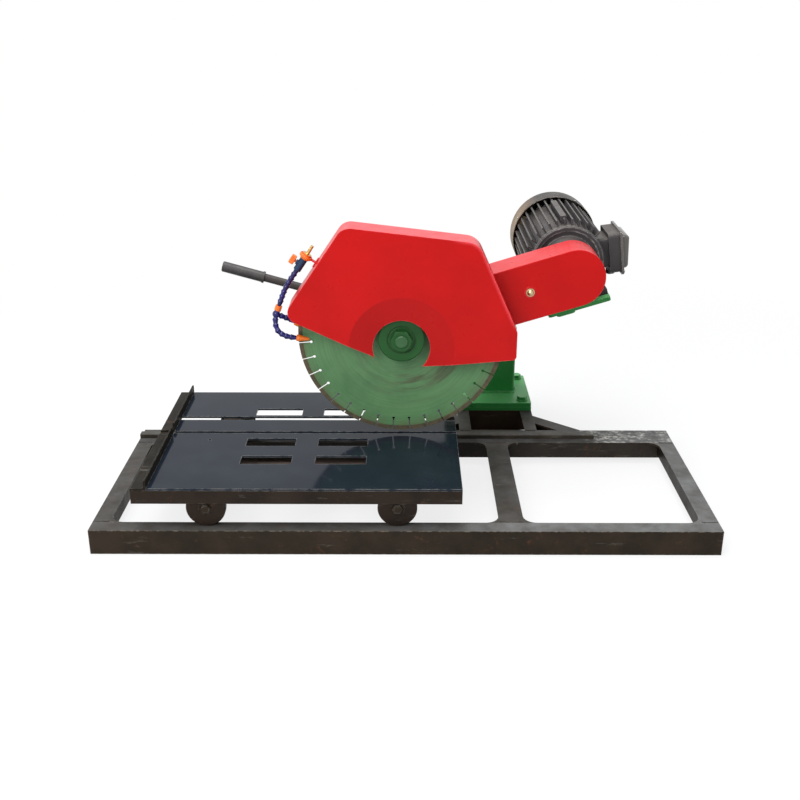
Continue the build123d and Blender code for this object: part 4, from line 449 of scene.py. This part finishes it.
def cowl_finish():
    """Grey sheet steel, rubbed, its outer, left side painted tan as lit from that side, its edges paler by chips
    and painted highlight.
    """
    finish = Finish("cowl_paint", IOR=1.3)
    cloud = finish.noise(14.0, detail=5.0, rough=0.6)
    grey = finish.grade(cloud, 0.35, 0.68, colour(54, 52, 50), colour(46, 44, 43))
    tan = finish.grade(cloud, 0.35, 0.68, colour(128, 106, 84), colour(108, 90, 72))
    # Painted light: the cowl turns tan to the left of the motor axis, as lit from that side
    right, _, _ = finish.split(finish.place)
    near, far = (MOTOR_AXIS.x - left for left in LIT_LEFT)
    tone = finish.grade(right, near, far, grey, tan)
    scuff = finish.band(finish.noise(48.0, detail=7.0, rough=0.7), 0.60, 0.70)
    tone = finish.mix(finish.product(scuff, 0.5), tone, colour(168, 162, 152))
    # Paler edges: chips and painted highlight
    flecks = finish.band(finish.noise(90.0, detail=6.0, rough=0.7), 0.36, 0.62)
    tone = finish.mix(finish.product(finish.edges(radius=0.0022), flecks), tone, colour(206, 196, 184))
    finish.roughen(finish.spread(cloud, 0.36, 0.50))
    finish.bump(finish.noise(420.0, detail=2.0), strength=0.12, distance=0.0006)
    finish.paint(tone)


def shaft_finish():
    """Ground shaft whose nut end was painted over with the flange."""
    finish = Finish("shaft_steel")
    painted_from, bare_from = (BLADE_AXIS.y - ahead for ahead in PAINTED_AHEAD)
    bare = finish.band(finish.split(finish.place)["Y"], painted_from, bare_from)
    cloud = finish.noise(60.0, detail=5.0)
    paint = finish.grade(cloud, 0.35, 0.7, colour(38, 92, 44), colour(28, 72, 33))
    steel = finish.grade(cloud, 0.35, 0.7, STEEL, DEEP_STEEL)
    finish.feed(finish.shader, "Metallic", bare)
    finish.roughen(finish.spread(cloud, 0.28, 0.40))
    finish.bump(finish.noise(400.0, detail=2.0), strength=0.1, distance=0.0004, edge=0.0005)
    finish.paint(finish.mix(bare, paint, steel))


def valve_finish():
    """Moulded valve body with an orange inlet nut and a turned brass tail."""
    finish = Finish("valve_body", IOR=1.4)
    up = finish.vector_math("DOT_PRODUCT", finish.away_from(VALVE_MIDDLE), VALVE_WAY)["Value"]
    nut = finish.band(up, NUT_START - COLOUR_EDGE, NUT_START)
    tail = finish.band(up, TAIL_START - COLOUR_EDGE, TAIL_START)
    cloud = finish.noise(60.0, detail=5.0)
    body = finish.grade(cloud, 0.35, 0.7, colour(26, 54, 88), colour(20, 42, 70))
    body = finish.mix(nut, body, finish.mix(cloud, ORANGE, DEEP_ORANGE))
    brass = finish.grade(cloud, 0.35, 0.7, colour(214, 178, 110), colour(176, 138, 78))
    finish.feed(finish.shader, "Metallic", tail)
    finish.roughen(finish.spread(cloud, 0.26, 0.40))
    finish.bump(finish.noise(700.0, detail=2.0), strength=0.08, distance=0.0004, edge=0.0004)
    finish.paint(finish.mix(tail, body, brass))


# One finish for each slot of the record
frame_finish("frame_paint", BROWN, DEEP_BROWN, dust=(0.15, 0.85))
frame_finish("rail_steel", colour(70, 64, 56), colour(48, 44, 38), dust=(0.15, 0.8), crust=0.46)
# Green: tops painted paler as lit from above
enamel("green_paint", colour(48, 140, 66), colour(36, 114, 50), wear_and_highlight=colour(140, 190, 140), gloss=0.30,
       lit_top=colour(118, 204, 130), lightening=0.7, dust=0.1, chips_and_highlight=0.5)
# Red: tops painted paler as lit from above, edges paler by chips and painted highlight
enamel("red_paint", RED, DEEP_RED, wear_and_highlight=PALE_RED, gloss=0.26, ior=1.25, lit_top=LIT_TOP_RED, lightening=0.16, chips_and_highlight=0.8,
       edge=0.0028)
table_finish()
# Motor: fin and ring edges paler by chips and painted highlight
enamel("motor_paint", GREY, DEEP_GREY, wear_and_highlight=colour(150, 146, 146), gloss=0.34, dust=0.25, chips_and_highlight=0.8, peel=0.3)
blade_finish()
grit_finish()
enamel("flange_paint", colour(34, 86, 38), colour(24, 64, 28), wear_and_highlight=colour(130, 150, 120), gloss=0.34)
metal("zinc_steel", colour(170, 170, 164), colour(140, 140, 136), rough=0.30)
metal("ground_steel", STEEL, DEEP_STEEL, rough=0.22)
metal("bearing_steel", colour(196, 197, 200), colour(170, 171, 174), rough=0.16)
metal("bronze", colour(186, 150, 96), colour(150, 116, 70), rough=0.30)
metal("brass", colour(206, 192, 152), colour(178, 160, 116), rough=0.24)
frame_finish("cast_iron", colour(42, 32, 25), colour(32, 25, 20), dust=(0.0, 0.1))
plastic("belt_rubber", colour(36, 36, 36), colour(26, 26, 26), rough=0.62)
enamel("handle_steel", colour(66, 62, 60), colour(50, 47, 46), wear_and_highlight=colour(140, 136, 130), gloss=0.30)
plastic("grip_rubber", colour(56, 53, 52), colour(42, 40, 40), rough=0.40)
plastic("hose_blue", colour(24, 20, 100), colour(17, 13, 68), rough=0.18)
plastic("fitting_orange", ORANGE, DEEP_ORANGE, rough=0.30)
plastic("valve_plastic", colour(30, 66, 92), colour(22, 50, 72), rough=0.30)

# Finishes of single pieces
frame_finish("edging_paint", colour(44, 35, 28), colour(33, 26, 21), dust=(0.0, 0.15))
cowl_finish()
frame_finish("fence_paint", colour(36, 33, 28), colour(27, 25, 21), dust=(0.0, 0.12), ior=1.1)
enamel("lid_paint", colour(82, 78, 74), colour(68, 64, 60), wear_and_highlight=colour(200, 196, 188), gloss=0.10, ior=1.6,
       chips_and_highlight=0.5)
# End shields: rim edges paler by chips and painted highlight
enamel("shield_paint", GREY, DEEP_GREY, wear_and_highlight=colour(182, 176, 172), gloss=0.34, dust=0.25, chips_and_highlight=1.0, peel=0.3,
       edge=0.0045)
# Guard: tops painted paler as lit, its dish in painted shade, a painted highlight line on its upper right edges
enamel("guard_paint", RED, DEEP_RED, wear_and_highlight=PALE_RED, gloss=0.26, ior=1.25, lit_top=LIT_TOP_RED, lightening=0.36, chips_and_highlight=0.9,
       edge=0.0030, dish=colour(170, 6, 6), highlight_edge=0.009)
shaft_finish()
frame_finish("beam_paint", colour(46, 41, 36), colour(34, 30, 27), dust=(0.15, 0.9), crust=0.46)
frame_finish("front_paint", BROWN, DEEP_BROWN, dust=(0.2, 0.9), reach=(-0.10, 0.25), edge=0.0045, rubbed=0.9)
# End beams: sideways faces painted dark as shade
frame_finish("end_paint", BROWN, DEEP_BROWN, dust=(0.15, 0.85), side_shade=colour(20, 16, 13))
valve_finish()

# Nodes whose finish isn't their slot's
NODE_FINISH = {
    "table_edging": "edging_paint", "table_bearers": "edging_paint", "fence_angles": "fence_paint",
    "fan_cowl": "cowl_paint", "motor_shields": "shield_paint", "blade_guard": "guard_paint",
    "spindle_shaft": "shaft_steel", "rear_beam": "beam_paint", "front_beam": "front_paint",
    "right_beam": "end_paint", "column_bolts": "green_paint", "water_valve": "valve_body",
}
slot_of = {part["node"]: part["material_slot"] for part in frame["record"]["subparts"]}
for name, node in frame["nodes"].items():
    node.data.materials.clear()
    node.data.materials.append(FINISHES[NODE_FINISH.get(name, slot_of[name])])


# Added pieces: small ones that the CAD model leaves out, and the sloped lid of the terminal box
def add_piece(name, work, slot, body, finish=None):
    """Object that rides on a body, smooth between its sharp edges, in its slot's finish or another."""
    bmesh.ops.recalc_face_normals(work, faces=work.faces)
    mesh = bpy.data.meshes.new(name)
    work.to_mesh(mesh)
    work.free()
    mesh.materials.append(FINISHES[finish or slot])
    mesh.shade_smooth()
    mesh.set_sharp_from_angle(angle=SHARP_ANGLE)
    piece = bpy.data.objects.new(name, mesh)
    scene.collection.objects.link(piece)
    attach(piece, body)
    return piece


def skin(work, rings, closed=False):
    """Faces between neighbouring rings of points, with the ends capped or joined to each other."""
    rows = [[work.verts.new(point) for point in ring] for ring in rings]
    pairs = list(zip(rows, rows[1:]))
    if closed:
        pairs.append((rows[-1], rows[0]))
    else:
        work.faces.new(rows[0])
        work.faces.new(rows[-1])
    for low, high in pairs:
        for i in range(len(low)):
            j = (i + 1) % len(low)
            work.faces.new((low[i], low[j], high[j], high[i]))


def turned(work, place, profile, sides=24, closed=False, ridge=0.0):
    """Profile turned about the z axis of a place, with every other side raised by a ridge."""
    rings = []
    for radius, height in profile:
        ring = []
        for i in range(sides):
            angle = math.tau * i / sides
            reach = radius + ridge * (i % 2)
            ring.append(place @ Vector((reach * math.cos(angle), reach * math.sin(angle), height)))
        rings.append(ring)
    skin(work, rings, closed)


def straight(start, end, out):
    """Places along a line, each with the direction that leads away from the joint."""
    count = round((end - start).length / WELD_STEP)
    return [(start.lerp(end, i / count), out) for i in range(count + 1)]


def round_rectangle(low, high, radius):
    """Places round the foot of an upright tube, each with the direction that leads away from it."""
    left, right = low.x + radius, high.x - radius
    front, back = low.y + radius, high.y - radius
    corners = [(right, back), (left, back), (left, front), (right, front)]
    centres = [Vector((x, y, low.z)) for x, y in corners]
    places = []
    for quarter, centre in enumerate(centres):
        for i in range(TUBE_STEPS + 1):
            angle = (quarter + i / TUBE_STEPS) * math.pi / 2
            out = Vector((math.cos(angle), math.sin(angle), 0.0))
            places.append((centre + radius * out, out))
        following = centres[(quarter + 1) % len(centres)] + radius * out
        places += straight(places[-1][0], following, out)[1:-1]
    return places


def bead(work, places, section, closed=False):
    """Weld bead: a section of (out, up) points along the places, rippled by each drop of metal."""
    rings = []
    for i, (point, out) in enumerate(places):
        swell = 1.0 - RIPPLE * (i % RIPPLE_STEPS)
        if not closed and i in (0, len(places) - 1):
            swell = WELD_END
        rings.append([point + out * (a * swell) + Vector((0, 0, b * swell)) for a, b in section])
    skin(work, rings, closed)


def crown(width, height):
    """Low arch on a flat face, its foot just below the face."""
    angles = [math.pi * i / (ARCH_POINTS - 1) for i in range(ARCH_POINTS)]
    arch = [(width / 2 * math.cos(angle), height * math.sin(angle)) for angle in angles]
    return [(width / 2, -WELD_SINK)] + arch + [(-width / 2, -WELD_SINK)]


def fillet(leg):
    """Bulged corner weld between a wall and the plate below it."""
    return [(-WELD_SINK, -WELD_SINK), (leg, -WELD_SINK), (leg, WELD_TOE), (0.66 * leg, 0.5 * leg),
            (0.4 * leg, 0.75 * leg), (WELD_TOE, leg), (-WELD_SINK, leg)]


def add_welds():
    """Beads where the beams and the outrigger's legs meet, and round the foot of the column."""
    section = crown(BEAD_WIDTH, BEAD_HEIGHT)
    front_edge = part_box("front_beam")[1]
    rear_low, rear_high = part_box("rear_beam")
    foot_low, foot_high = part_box("column_base_plate")
    beams = (("left_beam", OUTER_INSET, WINDOW_INSET),
             ("cross_beam", OUTER_INSET, OUTER_INSET),
             ("right_beam", WINDOW_INSET, OUTER_INSET))
    seams = []
    for name, left, right in beams:
        low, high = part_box(name)
        for y in (front_edge.y + FRONT_OFFSET, rear_low.y):
            seams.append((low.x + left, high.x - right, y))
    for leg in (foot_low.x, foot_high.x - LEG_WIDTH):
        seams.append((leg + OUTER_INSET, leg + LEG_WIDTH - OUTER_INSET, rear_high.y))
    work = bmesh.new()
    for start, end, y in seams:
        line = [Vector((x, y, front_edge.z)) for x in (start, end)]
        bead(work, straight(*line, out=Vector((0.0, 1.0, 0.0))), section)
    add_piece("frame_welds", work, "frame_paint", "base")
    work = bmesh.new()
    bead(work, round_rectangle(*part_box("column_tube"), TUBE_CORNER), fillet(COLUMN_WELD), closed=True)
    add_piece("column_weld", work, "green_paint", "base")


def rounded(length, height, radius):
    """Points round a rectangle with rounded corners, as (along, up)."""
    points = []
    for quarter in range(4):
        start = quarter * math.pi / 2
        along = math.copysign(length / 2 - radius, math.cos(start + math.pi / 4))
        up = math.copysign(height / 2 - radius, math.sin(start + math.pi / 4))
        for i in range(CORNER_STEPS + 1):
            angle = start + i * math.pi / 2 / CORNER_STEPS
            points.append((along + radius * math.cos(angle), up + radius * math.sin(angle)))
    return points


def lid_ring(length, height, radius, reach, slope=0.0):
    """Ring across the terminal box, further out towards its top by a slope."""
    outline = rounded(length, height, radius)
    return [BOX @ Vector((reach + slope * up, along, up)) for along, up in outline]


def add_lid():
    """Lid of the terminal box: a flat rim, and a rounded face that stands further out at the top."""
    seat = LID_START + LID_RIM
    rings = [
        lid_ring(RIM_LENGTH, RIM_HEIGHT, LID_CORNER, LID_START),
        lid_ring(RIM_LENGTH, RIM_HEIGHT, LID_CORNER, seat - LID_EDGE),
        lid_ring(RIM_LENGTH - 2 * LID_EDGE, RIM_HEIGHT - 2 * LID_EDGE, LID_CORNER - LID_EDGE, seat),
        lid_ring(DOME_LENGTH, DOME_HEIGHT, LID_CORNER, seat),
    ]
    for i in range(DOME_STEPS + 1):
        angle = i * math.pi / 2 / DOME_STEPS
        inset = DOME_INSET * (1 - math.cos(angle))
        sink = 1 - math.sin(angle)
        rings.append(lid_ring(DOME_LENGTH - 2 * inset, DOME_HEIGHT - 2 * inset, LID_CORNER - inset,
                              LID_REACH - sink * LID_ROUNDING, LID_SLOPE - sink * ROUNDING_SLOPE))
    work = bmesh.new()
    skin(work, rings)
    piece = add_piece("sloped_lid", work, "motor_paint", "head", finish="lid_paint")
    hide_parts("terminal_lid")


def add_screws():
    """Screws on the rim of the terminal lid and round the fan cowl."""
    outward = Matrix.Rotation(math.pi / 2, 4, "Y")
    work = bmesh.new()
    for along in (-LID_SCREW_ALONG, LID_SCREW_ALONG):
        for up in (-LID_SCREW_UP, LID_SCREW_UP):
            place = BOX @ Matrix.Translation((LID_START + LID_RIM, along, up))
            turned(work, place @ outward, SCREW_HEAD)
    add_piece("lid_screws", work, "zinc_steel", "head")
    work = bmesh.new()
    for i in range(COWL_SCREWS):
        turn = Matrix.Rotation((i + 0.5) * math.tau / COWL_SCREWS, 4, "Y")
        place = MOTOR @ turn @ Matrix.Translation((COWL_RADIUS, COWL_SCREW_DEPTH, 0.0))
        turned(work, place @ outward, SCREW_HEAD)
    add_piece("cowl_screws", work, "zinc_steel", "head")


def add_washer():
    """Washer between the dome nut and the belt cover."""
    forward = Matrix.Rotation(math.pi / 2, 4, "X")
    place = ARM @ Matrix.Translation((STUD_REACH, COVER_FRONT, 0.0))
    work = bmesh.new()
    turned(work, place @ forward, WASHER, sides=40, closed=True)
    add_piece("dome_nut_washer", work, "red_paint", "head")


def add_collar():
    """Knurled collar round the strap's ring."""
    work = bmesh.new()
    place = VALVE @ Matrix.Translation((0.0, 0.0, COLLAR_MIDDLE))
    turned(work, place, COLLAR, sides=48, closed=True, ridge=KNURL)
    add_piece("inlet_collar", work, "fitting_orange", "head")


def walk(start, heading, turns, depth):
    """Joint centres of the hose, which starts along a heading and eases over to a depth."""
    points = [start]
    x, y, z = start
    for i, turn in enumerate(turns):
        heading += math.radians(turn)
        x += LINK_PITCH * math.cos(heading)
        z += LINK_PITCH * math.sin(heading)
        share = min(1.0, (i + 1) / EASING_LINKS)
        points.append(Vector((x, y + (depth - y) * share, z)))
    return points, heading


def add_hose_rims():
    """Rolled rim at the mouth of each hose link."""
    start = VALVE @ Vector((0.0, 0.0, HOSE_TOP))
    main, heading = walk(start, -math.pi / 2 - WALL_TURN, MAIN_TURNS, start.y)
    way = Vector((math.cos(heading), 0.0, math.sin(heading)))
    split = main[-1] + way * SPLIT_REACH
    routes = [main]
    for turns, depth in ((FRONT_TURNS, split.y - NOZZLE_SPREAD), (REAR_TURNS, split.y + NOZZLE_SPREAD)):
        branch, _ = walk(split, heading, turns, depth)
        routes.append(branch)
    work = bmesh.new()
    for route in routes:
        for point, after in zip(route[1:-1], route[2:]):
            turn = (after - point).to_track_quat("Z", "Y").to_matrix().to_4x4()
            turned(work, Matrix.Translation(point) @ turn, HOSE_RIM, sides=20, closed=True)
    add_piece("hose_rims", work, "hose_blue", "head")


def add_wheel_rings():
    """Turned land round the axle hole of each wheel, on its outer side."""
    for name, body in (("wheel_front_left", "wheel_fl"), ("wheel_front_right", "wheel_fr"),
                       ("wheel_rear_left", "wheel_rl"), ("wheel_rear_right", "wheel_rr")):
        low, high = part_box(name)
        middle = (low + high) / 2
        is_front = name.startswith("wheel_front")
        middle.y = low.y if is_front else high.y
        outward = Matrix.Rotation(math.pi / 2 if is_front else -math.pi / 2, 4, "X")
        work = bmesh.new()
        turned(work, Matrix.Translation(middle) @ outward, WHEEL_LAND, sides=40, closed=True)
        add_piece(name + "_land", work, "cast_iron", body)


add_welds()
add_lid()
add_screws()
add_washer()
add_collar()
add_hose_rims()
add_wheel_rings()


# Stage: a pale floor with painted shade below the machine, a white surround and soft lamps
def seen_directly(nodes):
    """1 for camera, mirror and glass rays, 0 for light that spreads."""
    path = nodes.node("ShaderNodeLightPath").outputs
    mirror_or_camera = nodes.math("MAXIMUM", path["Is Camera Ray"], path["Is Glossy Ray"])
    return nodes.math("MAXIMUM", mirror_or_camera, path["Is Transmission Ray"])


def between(nodes, value, low, high):
    """1 between two limits, falling to 0 over a soft edge outside them."""
    middle, half = (low + high) / 2, (high - low) / 2
    distance = nodes.math("ABSOLUTE", nodes.math("SUBTRACT", value, middle))
    return nodes.band(distance, half, half + SHADE_EDGE, 1.0, 0.0)


def lit_floor(nodes, place):
    """0 on the floor below the table and the column's foot, where little light reaches and the floor is painted
    dark as shade, and 1 elsewhere.
    """
    beam_low, beam_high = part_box("rear_beam")
    table_low, table_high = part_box("front_table_plate")
    foot_low, foot_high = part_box("column_base_plate")
    below_table = (table_low.x, table_high.x - SHADE_EDGE, beam_low.y - SHADE_EDGE, beam_high.y)
    below_foot = (foot_low.x, foot_high.x - SHADE_EDGE, beam_high.y, foot_high.y - SHADE_EDGE)
    x, y, _ = nodes.split(place)
    lit = []
    for left, right, front, back in (below_table, below_foot):
        shade = nodes.product(between(nodes, x, left, right), between(nodes, y, front, back))
        lit.append(nodes.math("SUBTRACT", 1.0, shade))
    return nodes.product(*lit)


def floor_material():
    """Pale floor that is white where it is seen, but for the machine's shadow and a painted shade below it."""
    material = bpy.data.materials.new("floor")
    nodes = Nodes(material)
    place = nodes.node("ShaderNodeNewGeometry").outputs["Position"]
    distance = nodes.vector_math("LENGTH", place)["Value"]
    lit = lit_floor(nodes, place)
    # Painted shade: the dark diffuse below the table and the column's foot
    painted_shade = nodes.node("ShaderNodeBsdfDiffuse", {"Color": PAINTED_FLOOR_SHADE}).outputs[0]
    pale = nodes.node("ShaderNodeBsdfDiffuse", {"Color": FLOOR_PALE}).outputs[0]
    ground = nodes.node("ShaderNodeMixShader", {0: lit, 1: painted_shade, 2: pale}).outputs[0]
    glow = nodes.node("ShaderNodeEmission", {"Color": WHITE, "Strength": 1.0}).outputs[0]
    lightening = nodes.band(distance, GLOW_NEAR, GLOW_FAR, GLOW_LEAST, 1.0)
    share = nodes.product(seen_directly(nodes), lightening, lit)
    surface = nodes.node("ShaderNodeMixShader", {0: share, 1: ground, 2: glow}).outputs[0]
    nodes.node("ShaderNodeOutputMaterial", {"Surface": surface})
    return material


def add_floor():
    mesh = bpy.data.meshes.new("floor")
    corners = [(x * FLOOR_REACH, y * FLOOR_REACH, -FLOOR_DROP) for x, y in ((-1, -1), (1, -1), (1, 1), (-1, 1))]
    mesh.from_pydata(corners, [], [(0, 1, 2, 3)])
    mesh.materials.append(floor_material())
    floor = bpy.data.objects.new("floor", mesh)
    scene.collection.objects.link(floor)


def add_world():
    """Soft cool light from all round, white where it is seen."""
    world = bpy.data.worlds.new("studio")
    scene.world = world
    nodes = Nodes(world)
    spread = nodes.node("ShaderNodeBackground", {"Color": SKY, "Strength": SKY_STRENGTH}).outputs[0]
    white = nodes.node("ShaderNodeBackground", {"Color": WHITE, "Strength": 1.0}).outputs[0]
    surface = nodes.node("ShaderNodeMixShader", {0: seen_directly(nodes), 1: spread, 2: white}).outputs[0]
    nodes.node("ShaderNodeOutputWorld", {"Surface": surface})


def add_lamp(name, place, target, size, watts):
    lamp = bpy.data.lights.new(name, "AREA")
    lamp.shape = "DISK"
    lamp.size = size
    lamp.energy = watts
    holder = bpy.data.objects.new(name, lamp)
    holder.location = place
    holder.rotation_euler = (Vector(target) - Vector(place)).to_track_quat("-Z", "Y").to_euler()
    scene.collection.objects.link(holder)


def add_camera():
    lens = bpy.data.cameras.new("camera")
    lens.sensor_width = SENSOR_WIDTH
    lens.lens = FOCAL_LENGTH
    camera = bpy.data.objects.new("camera", lens)
    camera.location = CAMERA_PLACE
    camera.rotation_euler = (math.pi / 2 - CAMERA_DOWN, 0.0, CAMERA_TURN)
    scene.collection.objects.link(camera)
    scene.camera = camera


add_floor()
add_world()
add_lamp("overhead", place=(-0.4, -0.2, 3.2), target=(0.0, 0.0, 0.2), size=2.6, watts=90.0)
add_lamp("front", place=(-1.6, -2.8, 2.2), target=(0.0, 0.0, 0.3), size=1.8, watts=60.0)
add_camera()
scene.view_settings.view_transform = "Standard"
